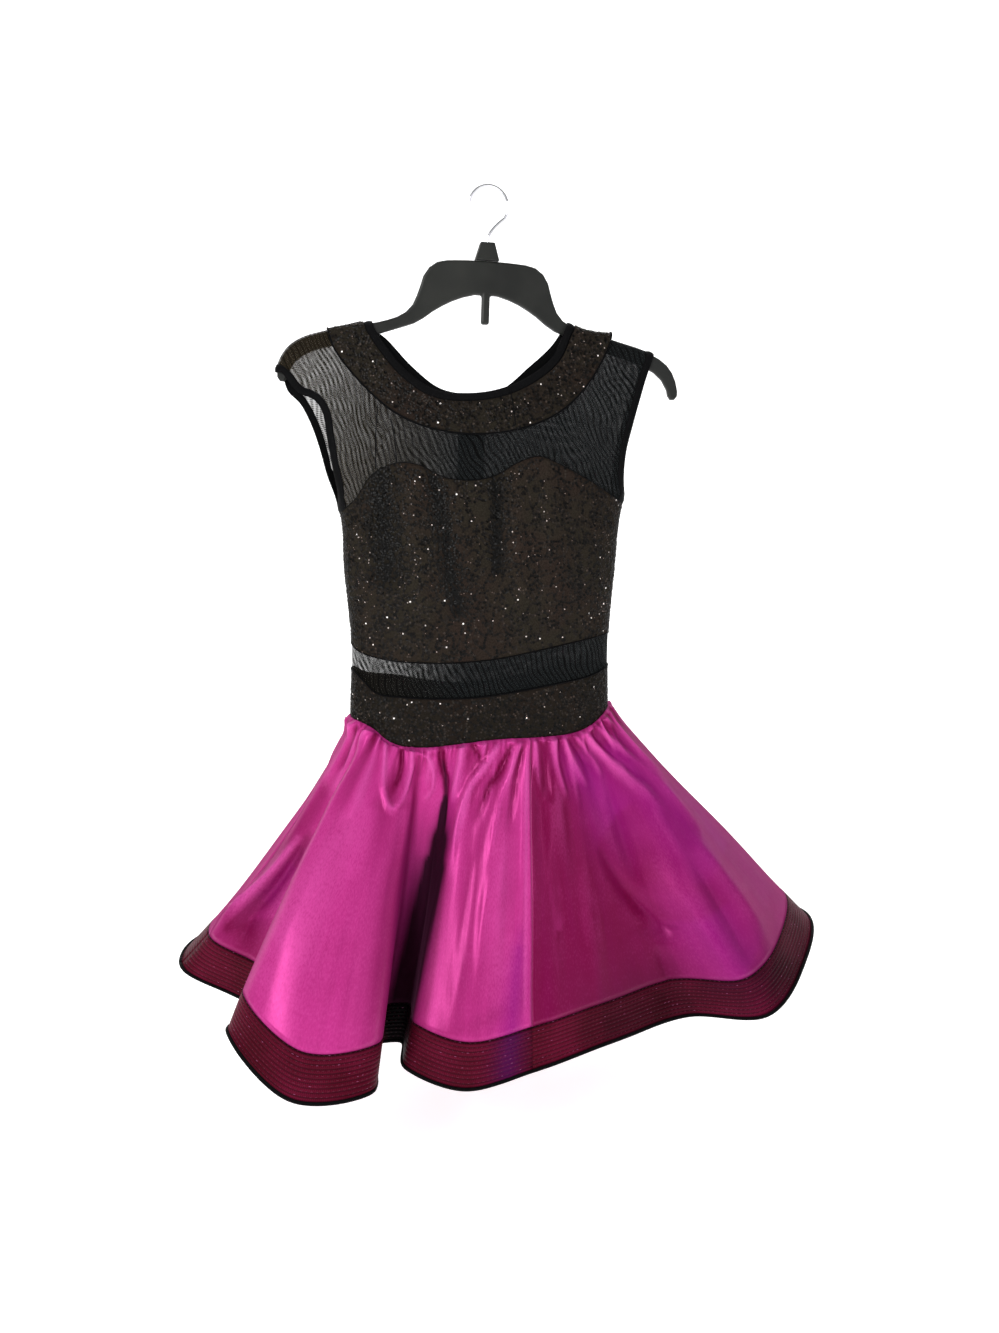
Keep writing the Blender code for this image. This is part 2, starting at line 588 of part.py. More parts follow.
def hem_at(angles):
    """Hem point and bow of the fold at each turn round the waist, from the table of folds."""
    table = np.array(HEM_FOLDS, float)
    before, after = table[-3:].copy(), table[:3].copy()
    before[:, 0] -= 360
    after[:, 0] += 360
    curve = dense_curve(np.vstack([before, table, after]))
    return np.stack([np.interp(angles, curve[:, 0], curve[:, k]) for k in range(1, 5)], -1)


def waist_ring():
    """Points, normals, turns and cell places right round the waist, closer in cells where the hem is long."""
    columns = []
    for side, turns, order in ((-1, front_turns(), 1), (1, back_turns(), -1)):
        edge = side_to_side("waist", side, turns)[::order]
        points, normals = (grid[0] for grid in lift(side, [edge]))
        angles = np.degrees(edge[:, 0])
        if side > 0:
            angles = 180 - angles
        for i in range(len(turns) - 1):
            hem = hem_at(np.linspace(angles[i], angles[i + 1], CELL_SAMPLES))[:, :3]
            steps = max(1, round(np.linalg.norm(np.diff(hem, axis=0), axis=1).sum() / HEM_STEP))
            cell = (COLUMNS_LEFT + COLUMNS_RIGHT) * (side > 0) + i
            for share in np.arange(steps) / steps:
                columns.append([*blend(points[i], points[i + 1], share, 0, 1),
                                *blend(normals[i], normals[i + 1], share, 0, 1),
                                blend(angles[i], angles[i + 1], share, 0, 1), cell + share])
    columns = np.array(columns)
    normals = columns[:, 3:6] / np.linalg.norm(columns[:, 3:6], axis=1)[:, None]
    return columns[:, :3], normals, columns[:, 6], columns[:, 7]


def make_skirt(materials):
    """Satin panels gathered into the waist, with the braid and its rolled edge below them."""
    waist, waist_normals, angles, cells = waist_ring()
    hem = hem_at(angles)
    bow = hem[:, 3]
    slant = SATIN_LENGTH + BRAID_LENGTH + HEM_EDGE_LENGTH
    satin = [step * SATIN_LENGTH / slant for step in SKIRT_STEPS]
    rows = []
    for share in satin + [(SATIN_LENGTH + BRAID_LENGTH) / slant, 1.0]:
        out = max(share - STAND, 0) / (1 - STAND)
        out = out + 2 * bow * out * (1 - out)
        row = waist + (hem[:, :3] - waist) * np.stack([out, out, np.full(len(out), share)], -1)
        reach = share / PUCKER_REACH
        if 0 < reach < 1:
            wave = 0.5 - 0.5 * np.cos(2 * math.pi * cells / CELLS_PER_PUCKER)
            row = row + waist_normals * (wave * PUCKER_RISE * (1 - reach) ** 2)[:, None]
        rows.append(row)
    rows = np.array(rows)
    level = np.roll(rows, -1, axis=1) - np.roll(rows, 1, axis=1)
    normals = np.cross(level, -np.gradient(rows, axis=0))
    normals /= np.linalg.norm(normals, axis=2)[:, :, None]
    normals += (np.roll(normals, -1, axis=1) + np.roll(normals, 1, axis=1)) / 2
    normals /= np.linalg.norm(normals, axis=2)[:, :, None]
    normals[0] = waist_normals
    side_cells = COLUMNS_LEFT + COLUMNS_RIGHT
    seam_cells = (0, COLUMNS_LEFT, side_cells, side_cells + side_cells // 2, 2 * side_cells)
    seams = [int(np.searchsorted(cells, cell)) for cell in seam_cells]
    last = len(satin) - 1
    for i, name in enumerate(("front_left", "front_right", "back_right", "back_left")):
        columns = [c % len(cells) for c in range(seams[i], seams[i + 1] + 1)]
        grid = [layer[:, columns] for layer in (rows, normals)]
        make_wall("skirt_" + name, *(layer[:last + 1] for layer in grid), SATIN_WALL, materials["satin"])
        make_wall("hem_braid_" + name, *(layer[last:last + 2] for layer in grid), BRAID_WALL, materials["braid"])
        make_wall("hem_edge_" + name, *(layer[last + 1:] for layer in grid), HEM_EDGE_WALL,
                  materials["black_jersey"], ("top", "left", "right"))


def make_frame(materials):
    """Moulded hanger frame: a flat outline with its peg, thickened and rounded at its edges."""
    top = along(dense_curve(BAR_TOP + ARM_TOP), np.linspace(0, 1, TOP_OUTLINE_CELLS + 1))
    foot = along(dense_curve(ARM_FOOT), np.linspace(0, 1, FOOT_OUTLINE_CELLS + 1))
    peg = [(PEG_WIDTH / 2, ARM_FOOT[-1][1]), (PEG_WIDTH / 2, PEG_FOOT)]
    half = [(x, -drop) for x, drop in [*top, *ARM_TIP, *foot, *peg]]
    outline = half + [(-x, z) for x, z in half[::-1] if x > 0]
    curve = bpy.data.curves.new("hanger_outline", "CURVE")
    curve.dimensions = "2D"
    curve.fill_mode = "BOTH"
    curve.extrude = HANGER_THICKNESS / 2 * MM
    spline = curve.splines.new("POLY")
    spline.points.add(len(outline) - 1)
    for point, (x, z) in zip(spline.points, outline):
        point.co = (x * MM, z * MM, 0, 1)
    spline.use_cyclic_u = True
    flat = bpy.data.objects.new("hanger_outline", curve)
    bpy.data.collections[COLLECTION].objects.link(flat)
    data = bpy.data.meshes.new_from_object(flat.evaluated_get(bpy.context.evaluated_depsgraph_get()))
    bpy.data.objects.remove(flat)
    mesh = bmesh.new()
    mesh.from_mesh(data)
    bmesh.ops.remove_doubles(mesh, verts=mesh.verts[:], dist=WELD * MM)
    bmesh.ops.dissolve_limit(mesh, angle_limit=FLAT_ANGLE, verts=mesh.verts[:], edges=mesh.edges[:])
    bmesh.ops.recalc_face_normals(mesh, faces=mesh.faces[:])
    mesh.to_mesh(data)
    mesh.free()
    frame = add_object("hanger_frame", data, materials["black_plastic"])
    frame.rotation_euler = (math.pi / 2, HANGER_TILT, 0)
    bevel = frame.modifiers.new("edge", "BEVEL")
    bevel.width = HANGER_EDGE * MM
    bevel.segments = 2
    bevel.limit_method = "ANGLE"
    bevel.angle_limit = HANGER_CORNER
    bevel.use_clamp_overlap = False


def make_cap(materials):
    """Bare clip at the foot of the hook, narrower at its top, with a bore for the wire."""
    bpy.ops.mesh.primitive_cube_add(size=1, location=(0, 0, 0))
    cap = bpy.context.object
    cap.name = "size_clip"
    for vertex in cap.data.vertices:
        width = CAP_TOP_WIDTH if vertex.co.z > 0 else CAP_FOOT_WIDTH
        drop = CAP_TOP if vertex.co.z > 0 else CAP_TOP + CAP_HEIGHT
        vertex.co = (math.copysign(width / 2, vertex.co.x) * MM, math.copysign(CAP_THICKNESS / 2, vertex.co.y) * MM,
                     -drop * MM)
    cap.data.materials.append(materials["black_plastic"])
    move_to(cap, COLLECTION)
    bevel = cap.modifiers.new("edge", "BEVEL")
    bevel.width = CAP_EDGE * MM
    bevel.segments = 2
    bpy.ops.mesh.primitive_cylinder_add(vertices=BORE_SIDES, radius=(HOOK_WIRE / 2 + TOUCH) * MM,
                                        depth=2 * CAP_HEIGHT * MM, location=(0, 0, -(CAP_TOP + CAP_HEIGHT / 2) * MM))
    bore = bpy.context.object
    bore.name = "wire_bore"
    move_to(bore, CUTTERS)
    bore.hide_render = True
    bore.display_type = "WIRE"
    bore.parent = cap
    cut = cap.modifiers.new("bore", "BOOLEAN")
    cut.operation = "DIFFERENCE"
    cut.object = bore
    cap.rotation_euler = (0, HANGER_TILT, 0)


def move_to(item, name):
    for collection in list(item.users_collection):
        collection.objects.unlink(item)
    bpy.data.collections[name].objects.link(item)


def make_hook(materials):
    """Steel wire hook: an open round over the rail, then a slanting neck down to a straight stem in the clip."""
    radius = HOOK_INNER_RADIUS + HOOK_WIRE / 2
    turns = np.radians(np.linspace(*HOOK_TURNS, HOOK_POINTS))
    round_part = [(radius * math.cos(turn), radius * math.sin(turn) - HOOK_INNER_RADIUS) for turn in turns]
    stem = along(dense_curve([round_part[-1], *HOOK_STEM]), np.linspace(0, 1, STEM_POINTS))
    curve = bpy.data.curves.new("hanger_hook", "CURVE")
    curve.dimensions = "3D"
    curve.bevel_depth = HOOK_WIRE / 2 * MM
    curve.bevel_resolution = 2
    curve.use_fill_caps = True
    spline = curve.splines.new("POLY")
    route = round_part + [tuple(point) for point in stem[1:]]
    spline.points.add(len(route) - 1)
    for point, (x, z) in zip(spline.points, route):
        point.co = (x * MM, 0, z * MM, 1)
    hook = add_object("hanger_hook", curve, materials["steel"])
    hook.rotation_euler = (0, HANGER_TILT, 0)


YOKE_COLUMNS = 2 * (len(ROLL_STEPS) - 1 + ARMHOLE_COLUMNS - ARMPIT_COLUMNS) + COLUMNS_LEFT + COLUMNS_RIGHT
NECK_SEAM_PLACES = [shoulder_distance(x) for x in NECK_SEAMS]
COLLAR_SEAM_PLACES = [shoulder_distance(x) for x in COLLAR_SEAMS]
ARMHOLE_SEAMS = (ARMHOLE_SEAMS_FROM_TIPS[0], float(SHOULDER_STEPS[-1]) - ARMHOLE_SEAMS_FROM_TIPS[1])


def main():
    clear_scene()
    for name in (COLLECTION, CUTTERS):
        bpy.context.scene.collection.children.link(bpy.data.collections.new(name))
    materials = make_finishes()
    make_frame(materials)
    make_cap(materials)
    make_hook(materials)
    for side in (-1, 1):
        make_upper(side, materials)
        make_lower(side, materials)
    make_skirt(materials)


main()
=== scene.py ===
"""Looks of the sequined dance costume on its hanger.

The cloth is built again from the same sizes as its solids, with far closer columns and rows, as thin shells
that carry their gathers, creases, sequins and stitching. Sizes here are in millimetres, with the origin at
the inner top of the hanger's hook, +Z up and the costume's front towards -Y.
"""
import math

import bmesh
import bpy
import numpy as np
from mathutils import Matrix, Vector


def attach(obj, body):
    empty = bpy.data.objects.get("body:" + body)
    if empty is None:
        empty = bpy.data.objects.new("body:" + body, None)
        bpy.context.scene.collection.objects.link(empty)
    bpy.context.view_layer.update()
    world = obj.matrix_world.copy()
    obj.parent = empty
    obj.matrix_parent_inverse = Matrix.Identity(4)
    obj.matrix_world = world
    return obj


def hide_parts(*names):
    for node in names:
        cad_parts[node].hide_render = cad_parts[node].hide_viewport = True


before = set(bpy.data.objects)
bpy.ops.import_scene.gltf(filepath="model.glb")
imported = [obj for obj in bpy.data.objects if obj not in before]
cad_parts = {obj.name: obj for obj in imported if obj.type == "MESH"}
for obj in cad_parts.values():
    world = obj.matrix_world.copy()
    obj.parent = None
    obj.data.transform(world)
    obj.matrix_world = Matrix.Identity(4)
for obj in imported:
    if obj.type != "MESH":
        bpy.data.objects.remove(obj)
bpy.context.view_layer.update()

MM = 0.001
FULL_TURN = 2 * math.pi
SEED = 20
BODICE_SEED = 3 * SEED
WAISTBAND_SEED = 5 * SEED

# Hanger's arms, that the shoulders lie on: distance from the middle, drop below the hook's seat
HANGER_TILT = math.radians(2.0)
ARM_TOP = (
    (88, 132.5), (98, 137.2), (113, 141.8), (130, 145.6), (150, 150.4), (172, 155.9), (190, 162.0),
    (204, 171.0), (213, 183.5), (217.4, 198.0), (217.2, 203.0),
)

# Body of the costume: height, left side, right side, depth of the front, depth of the back
BODY = ((-150, -250, 238, 20, 16), (-205, -232, 206, 27, 20), (-260, -199, 174, 40, 28),
        (-333, -163, 147, 50, 36), (-400, -159, 140.5, 52, 42), (-476, -153.5, 134.8, 50, 46),
        (-560, -156.5, 135.6, 52, 48), (-620, -158.5, 137.6, 54, 50))
SQUARENESS = 2.35
SEARCH_HEIGHTS = (-640.0, -250.0)
SEARCH_STEPS = 18
SHOULDER_CLEARANCE = 1.0
SHOULDER_ROLL = 6.5
SHOULDER_FALL = 110.0
ROLL_STEPS = tuple(range(0, 91, 15))
# Small steps of turn and height that give the surface's normals, and how near upright a direction may be
STEP_TURN = 2e-4
STEP_HEIGHT = 0.02
UPRIGHT = 0.9

# Soft upright folds: x at the top, x at the foot, height of each end, rise, half width
FRONT_FOLDS = (
    (-138, -118, -300, -470, 2.2, 15),
    (-98, -72, -292, -480, 2.6, 13),
    (-42, -24, -305, -476, 3.0, 15),
    (18, 30, -290, -484, 2.8, 10),
    (62, 66, -288, -470, 2.4, 14),
    (108, 104, -312, -468, 1.8, 13),
)
BACK_FOLDS = (
    (-120, -104, -330, -474, 2.0, 16),
    (-66, -52, -318, -484, 2.6, 15),
    (8, 14, -316, -478, 2.4, 16),
    (70, 66, -322, -476, 2.2, 14),
)
# How a soft fold fades towards its ends, and towards the sides of the body
FOLD_FADE = 0.7
FOLD_SPREAD = 0.5

# Edges from one shoulder seam to the other: x of the seams, and points between as x and height
NECK_SEAMS = (-124.4, 84.8)
NECK_FRONT = (
    (-112, -162.0), (-90, -188.8), (-62, -207.6), (-30, -211.4), (5, -207.0), (38, -193.5), (66, -171.5),
)
NECK_BACK = (
    (-110, -153.0), (-82, -181.0), (-52, -203.0), (-20, -208.8), (14, -205.0), (46, -180.0),
    (70, -158.0),
)
NECK_BINDING = 9.0
COLLAR_SEAMS = (-170.5, 131.5)
COLLAR_FRONT = (
    (-164, -168.0), (-137, -203.0), (-103, -233.0), (-62, -249.5), (-16, -254.0), (30, -247.5),
    (70, -231.0), (100, -205.0), (122, -173.0),
)
COLLAR_BACK = (
    (-162, -166.0), (-134, -201.0), (-100, -229.0), (-60, -244.0), (-18, -248.0), (26, -242.0),
    (66, -225.0), (98, -198.0), (121, -168.0),
)

# Armholes: seam places in from the hanger's tips, heights at the side seams, and points between
ARMHOLE_BINDING = 8.0
ARMHOLE_SEAMS_FROM_TIPS = (5.0, 57.0)
ARMPITS = (-329.0, -321.0)
ARMPIT_REACH = 14.0
ARMHOLES = {
    ("left", -1): (
        (-203, -211.5), (-187, -218.6), (-178.5, -231.0), (-174.3, -258.0), (-169, -290.0),
        (-164.5, -313.0),
    ),
    ("left", 1): (
        (-214, -209.0), (-202, -221.0), (-191.5, -241.0), (-183, -266.0), (-175, -296.0),
        (-167.5, -317.0),
    ),
    ("right", -1): (
        (171, -193.0), (163, -217.0), (154.5, -244.0), (147.5, -268.0), (145.0, -290.0), (146.0, -307.0),
    ),
    ("right", 1): (
        (174, -196.0), (166, -220.0), (159, -244.0), (153.5, -268.0), (150.5, -290.0), (149.0, -307.0),
    ),
}

# Heights of the edges at the left and the right side seam, and their points between as x and height
SIDE_HEIGHTS = {"top": (-337.0, -329.0), "bodice foot": (-477.0, -471.5), "band top": (-508.0, -508.5),
                "waist": (-560.0, -556.0)}
EDGES = {
    ("top", -1): (
        (-165, -337.5), (-155, -329.0), (-146, -320.0), (-129, -295.5), (-103, -283.5), (-79, -286.0),
        (-57, -297.5), (-28, -301.5), (0, -296.5), (22, -284.0), (47, -276.5), (72, -286.0),
        (103, -302.0), (132, -319.0), (149, -329.0),
    ),
    ("top", 1): (
        (-165, -337.5), (-150, -331.0), (-120, -318.0), (-75, -309.0), (-16, -306.0), (45, -307.0),
        (95, -314.0), (132, -323.0), (149, -329.0),
    ),
    ("bodice foot", -1): (
        (-155, -476.5), (-146, -484.5), (-117, -492.0), (-80, -494.8), (-40, -495.0), (0, -492.0),
        (40, -485.5), (83, -478.0), (118, -473.0), (137, -471.0),
    ),
    ("bodice foot", 1): (
        (-155, -476.5), (-120, -490.0), (-60, -500.0), (-10, -502.0), (50, -495.0), (100, -481.0),
        (137, -471.0),
    ),
    ("band top", -1): (
        (-152, -507.0), (-141, -518.0), (-129, -529.0), (-100, -532.5), (-55, -534.2), (-18, -533.3),
        (20, -529.0), (64, -522.8), (107, -516.8), (137, -508.0),
    ),
    ("band top", 1): (
        (-152, -507.0), (-138, -517.0), (-105, -523.5), (-73, -531.0), (-29, -537.0), (8, -535.2),
        (42, -529.0), (80, -520.0), (118, -512.6), (137, -508.0),
    ),
    ("waist", -1): (
        (-158, -559.5), (-144, -563.0), (-131, -570.0), (-120, -579.5), (-104, -586.0), (-78, -587.5),
        (-40, -584.2), (0, -580.6), (60, -580.6), (88, -579.0), (108, -573.5), (124, -564.5),
        (137, -555.0),
    ),
    ("waist", 1): (
        (-158, -559.5), (-130, -572.0), (-90, -584.0), (-30, -589.0), (40, -586.0), (95, -574.0),
        (137, -555.0),
    ),
}

# Close columns and rows of the cloth
SKIRT_SEAM_TURN = 15.5
COLUMNS_LEFT = 64
COLUMNS_RIGHT = 40
ARMHOLE_COLUMNS = 24
ARMPIT_COLUMNS = 12
COLLAR_ROWS = 8
YOKE_ROWS = 24
BODICE_ROWS = 48
BAND_ROWS = 14
NET_ROWS = 8
PLACKET_X = -16.0
PLACKET_HALF_WIDTH = 15.0

# Skirt: slant lengths, the share that stands up at the waist, its puckers, and its columns and rows
SATIN_LENGTH = 335.0
BRAID_LENGTH = 46.0
HEM_EDGE_LENGTH = 4.0
STAND = 0.012
PUCKER_RISE = 2.6
PUCKER_REACH = 0.17
PUCKER_CELLS = 8
HEM_STEP = 5.0
CELL_SAMPLES = 9
SATIN_ROWS = 72
BRAID_ROWS = 8
# Hem, one row for each fold: turn at the waist, across, forwards (-) or back (+), height, bow of the fold
HEM_FOLDS = (
    (-88, -358, 26, -862, -0.18), (-77, -300, -4, -884, -0.16), (-64, -236, -42, -902, -0.15),
    (-53, -288, -176, -836, 0.15), (-41, -226, -238, -878, 0.10), (-31, -152, -222, -888, -0.05),
    (-23, -143, -104, -904, -0.20), (-17, -114, -98, -906, -0.20), (-8, -112, -178, -892, -0.10),
    (2, -58, -198, -908, 0.00), (15.5, 17, -181, -905, 0.00), (33, 108, -149, -899, 0.00),
    (51, 210, -112, -896, -0.05), (63, 290, -138, -889, 0.05), (76, 360, -78, -860, 0.05),
    (88, 402, 8, -840, 0.00), (99, 360, 100, -858, 0.00), (110, 250, 92, -898, -0.15),
    (122, 262, 196, -872, 0.05), (134, 184, 236, -882, 0.05), (145, 116, 122, -904, -0.20),
    (157, 78, 214, -890, 0.00), (171, -6, 236, -896, 0.00), (184, -62, 120, -910, -0.20),
    (196, -108, 208, -890, 0.00), (210, -196, 232, -878, 0.05), (222, -222, 110, -902, -0.15),
    (236, -276, 176, -876, 0.05), (252, -346, 112, -862, -0.10),
)

# Main creases of the satin: rise, half width at the start, half width at the end, and the line of the
# crease as turn round the waist and share of the satin's length
CREASES = (
    (4.5, 4, 9, ((-72, 0.01), (-79, 0.13), (-82, 0.30))),
    (3.2, 3, 7, ((-64, 0.01), (-70, 0.12), (-74, 0.30))),
    (-3.0, 3, 5, ((-68, 0.01), (-74, 0.12), (-77, 0.22))),
    (4.0, 3, 9, ((-57, 0.01), (-56, 0.14), (-56, 0.40))),
    (4.6, 3, 3, ((-45, 0.01), (-42.5, 0.08), (-39, 0.17), (-35.5, 0.225),
                   (-32.5, 0.19), (-30.5, 0.11), (-28, 0.03))),
    (4.0, 3, 3, ((-30, 0.02), (-25, 0.03), (-20.5, 0.06), (-18.8, 0.14), (-20.8, 0.20), (-23.5, 0.17))),
    (3.6, 3, 7, ((-50, 0.01), (-47, 0.12), (-46, 0.30))),
    (-3.4, 2, 4, ((-36, 0.01), (-34, 0.08), (-35, 0.15))),
    (2.2, 12, 18, ((-47, 0.35), (-49, 0.60), (-50, 0.85))),
    (-2.0, 8, 12, ((-40, 0.42), (-42, 0.65), (-42, 0.9))),
    (-4.5, 3, 8, ((-17.5, 0.00), (-14.8, 0.11), (-12.6, 0.20), (-12.2, 0.40))),
    (6.0, 2.5, 6, ((3, 0.02), (0, 0.09), (-4.3, 0.19), (-5.9, 0.31), (-6.5, 0.52))),
    (-5.0, 2.5, 5, ((8.5, 0.01), (4.5, 0.11), (1.4, 0.17), (-1.0, 0.30))),
    (3.8, 3, 6, ((-9, 0.01), (-8.5, 0.08), (-9.5, 0.24))),
    (-3.0, 2, 3, ((-5, 0.00), (-2, 0.05), (-0.5, 0.09))),
    (4.6, 2.5, 7, ((11, 0.01), (8.5, 0.10), (5, 0.22), (3, 0.46))),
    (-3.4, 2.5, 6, ((12, 0.03), (10, 0.16), (8, 0.34))),
    (2.8, 2.5, 5, ((13.8, 0.02), (13.4, 0.20), (12.8, 0.50), (12, 0.80))),
    (3.0, 9, 16, ((4, 0.45), (3, 0.65), (4, 0.9))),
    (-2.6, 6, 10, ((0, 0.40), (-1, 0.62), (-1, 0.85))),
    (3.2, 2.5, 5, ((17.8, 0.01), (18.3, 0.10), (19.5, 0.24))),
    (-3.0, 2.5, 5, ((21, 0.01), (22, 0.12), (23, 0.25))),
    (3.4, 3, 6, ((25, 0.01), (27, 0.12), (31, 0.26))),
    (3.6, 3, 7, ((31, 0.01), (35, 0.10), (41, 0.22))),
    (-3.0, 3, 5, ((35, 0.01), (40, 0.08), (45, 0.16))),
    (3.4, 3, 6, ((38, 0.01), (45, 0.10), (50, 0.20))),
    (4.4, 3, 10, ((45, 0.01), (53, 0.10), (61, 0.22), (68, 0.40))),
    (-3.4, 3, 8, ((50, 0.01), (58, 0.12), (65, 0.28))),
    (3.8, 3, 10, ((55, 0.01), (64, 0.12), (72, 0.30), (76, 0.55))),
    (3.2, 3, 8, ((66, 0.01), (72, 0.12), (78, 0.35))),
    (-7.0, 12, 16, ((38, 0.36), (46.2, 0.63), (51, 0.74), (54.5, 0.82))),
    (7.0, 14, 18, ((57, 0.50), (60, 0.72), (61, 0.90), (58, 1.04))),
    (-2.5, 10, 12, ((43, 0.775), (51, 0.80), (57, 0.81))),
    (-5.5, 8, 9, ((50, 0.86), (50, 0.95), (45, 1.02))),
    (5.0, 14, 16, ((68, 0.50), (71, 0.75), (71, 1.0))),
    (-4.0, 10, 14, ((65, 0.55), (66, 0.80), (66, 1.05))),
    (8.0, 7, 12, ((-82, 0.46), (-85, 0.70), (-89, 0.88), (-91, 1.0))),
    (-8.0, 8, 14, ((-79, 0.45), (-81, 0.70), (-82, 0.86), (-80, 1.02))),
    (4.4, 8, 12, ((-72, 0.55), (-71, 0.85), (-70, 1.02))),
    (4.2, 3, 8, ((97, 0.01), (102, 0.10), (108, 0.28))),
    (-3.2, 3, 5, ((104, 0.01), (109, 0.10), (113, 0.20))),
    (4.0, 3, 7, ((112, 0.01), (117, 0.12), (120, 0.30))),
    (3.2, 3, 5, ((120, 0.01), (123, 0.10), (125, 0.20))),
    (4.5, 3, 9, ((128, 0.01), (131, 0.12), (133, 0.40))),
    (-3.6, 3, 7, ((136, 0.01), (139, 0.12), (141, 0.30))),
    (3.6, 3, 7, ((142, 0.01), (146, 0.12), (150, 0.30))),
    (3.0, 3, 5, ((150, 0.01), (153, 0.08), (156, 0.18))),
    (4.6, 3, 9, ((158, 0.01), (160, 0.14), (162, 0.42))),
    (-3.2, 3, 6, ((166, 0.01), (168, 0.10), (170, 0.24))),
    (4.0, 3, 7, ((172, 0.01), (173, 0.10), (174, 0.30))),
    (3.0, 3, 5, ((179, 0.01), (180, 0.10), (182, 0.20))),
    (4.2, 3, 8, ((187, 0.01), (189, 0.12), (193, 0.34))),
    (-3.6, 3, 7, ((196, 0.01), (198, 0.12), (202, 0.30))),
    (4.0, 3, 7, ((203, 0.01), (206, 0.12), (210, 0.32))),
    (3.0, 3, 5, ((212, 0.01), (214, 0.10), (217, 0.20))),
    (4.6, 3, 9, ((220, 0.01), (224, 0.14), (229, 0.40))),
    (-3.2, 3, 6, ((230, 0.01), (233, 0.10), (237, 0.25))),
    (4.2, 3, 8, ((238, 0.01), (242, 0.12), (247, 0.35))),
    (3.2, 3, 6, ((248, 0.01), (252, 0.10), (257, 0.25))),
    (5.0, 12, 15, ((112, 0.50), (116, 0.80), (114, 1.02))),
    (-5.0, 12, 15, ((128, 0.45), (126, 0.75), (128, 1.0))),
    (5.0, 12, 15, ((204, 0.50), (208, 0.80), (206, 1.02))),
    (-5.0, 10, 14, ((246, 0.45), (244, 0.75), (246, 1.0))),
)
# Gathers at the waist, in three sizes: pitch, rise, reach as a share of the length, half width
GATHER_SIZES = (
    (17.0, 4.2, 0.22, 2.6),
    (8.0, 2.8, 0.12, 1.6),
    (4.6, 1.5, 0.05, 1.1),
)
GATHER_LEAN = 16.0
GATHER_START = 0.010
GATHER_SINK = 1.6
CREASE_SHARPNESS = 1.7
# How soon a line fades in and out, and the least of it left at its ends
CREASE_ENDS = (0.10, 0.30, 0.0)
OPEN_CREASE_ENDS = (0.45, 0.40, 0.0)
TINT_ENDS = (0.12, 0.12, 0.4)
LINE_SAMPLES = 4
CALM_FOOT = 0.10
PUFF_RISE = 2.6
PUFF_PLACE = 0.022
FLARE = 4.8
# Slow unevenness of the satin: waves round the skirt, waves down it, rise, start
UNEVENNESS = (
    (31, 0.6, 0.5, 0.4),
    (23, -1.1, 0.7, 2.1),
    (17, 1.6, 0.6, 3.9),
    (53, 0.3, 0.3, 5.0),
)

# Tints of the satin and braid by panel, the deep red ones partly their own tone and partly painted shade, the
# purple ones partly the satin's own shot colour and partly painted sheen: strength, half width at the start,
# half width at the end, and the line as turn and share of the length
WINE_AND_SHADE = {
    "front_left": (
        (1.00, 9, 16, ((-79.5, 0.50), (-81.5, 0.72), (-84, 0.86), (-86, 0.97))),
        (0.55, 10, 26, ((-82, 0.25), (-85, 0.50), (-86, 0.80))),
        (0.90, 36, 46, ((-84, 0.88), (-76, 1.0))),
        (0.60, 20, 26, ((-69, 0.60), (-66, 1.05))),
        (0.45, 16, 50, ((-30, 0.16), (-31, 0.50), (-31, 1.0))),
        (0.90, 4, 5, ((-17, 0.00), (-14.5, 0.10), (-12, 0.24))),
        (0.30, 6, 20, ((-1, 0.38), (-1, 1.0))),
        (0.60, 4, 7, ((8, 0.03), (4, 0.12), (1, 0.20))),
        (0.30, 20, 40, ((-60, 0.45), (-62, 0.9))),
        (0.34, 40, 130, ((2, 0.0), (0, 0.5), (-1, 1.1))),
        (0.55, 5, 16, ((-9, 0.36), (-7, 0.6), (-6, 1.0))),
        (0.40, 14, 16, ((13, 0.90), (-4, 0.99))),
        (0.45, 3, 5, ((-37, 0.01), (-35, 0.10), (-36, 0.18))),
        (0.35, 3, 4, ((-24, 0.02), (-26, 0.12))),
    ),
    "front_right": (
        (1.40, 14, 80, ((16.6, 0.05), (16.8, 0.40), (17, 0.70), (17.4, 1.04))),
        (1.50, 50, 230, ((26, 0.14), (32, 0.50), (36, 0.80), (36, 1.06))),
        (0.75, 60, 260, ((40, 0.00), (60, 0.50), (62, 1.06))),
        (0.95, 14, 22, ((42, 0.50), (48, 0.70), (53, 0.79))),
        (1.00, 8, 9, ((41, 0.785), (57, 0.80))),
        (1.00, 12, 15, ((50, 0.86), (50, 0.95), (45, 1.02))),
        (0.70, 16, 18, ((64, 0.99), (72, 0.97))),
        (0.45, 5, 8, ((24, 0.01), (25, 0.10), (26, 0.24))),
        (0.40, 4, 7, ((33, 0.01), (38, 0.12))),
    ),
    "back_right": (
        (0.55, 20, 50, ((100, 0.30), (102, 0.60), (100, 0.95))),
        (0.60, 24, 50, ((126, 0.30), (127, 0.9))),
        (0.60, 30, 60, ((146, 0.30), (145, 0.95))),
        (0.25, 60, 200, ((130, 0.0), (130, 1.0))),
    ),
    "back_left": (
        (0.60, 30, 60, ((184, 0.30), (184, 0.95))),
        (0.60, 30, 60, ((222, 0.30), (222, 0.95))),
        (0.55, 20, 50, ((250, 0.30), (254, 0.60), (256, 0.95))),
        (0.2, 60, 200, ((215, 0.0), (215, 1.0))),
    ),
}
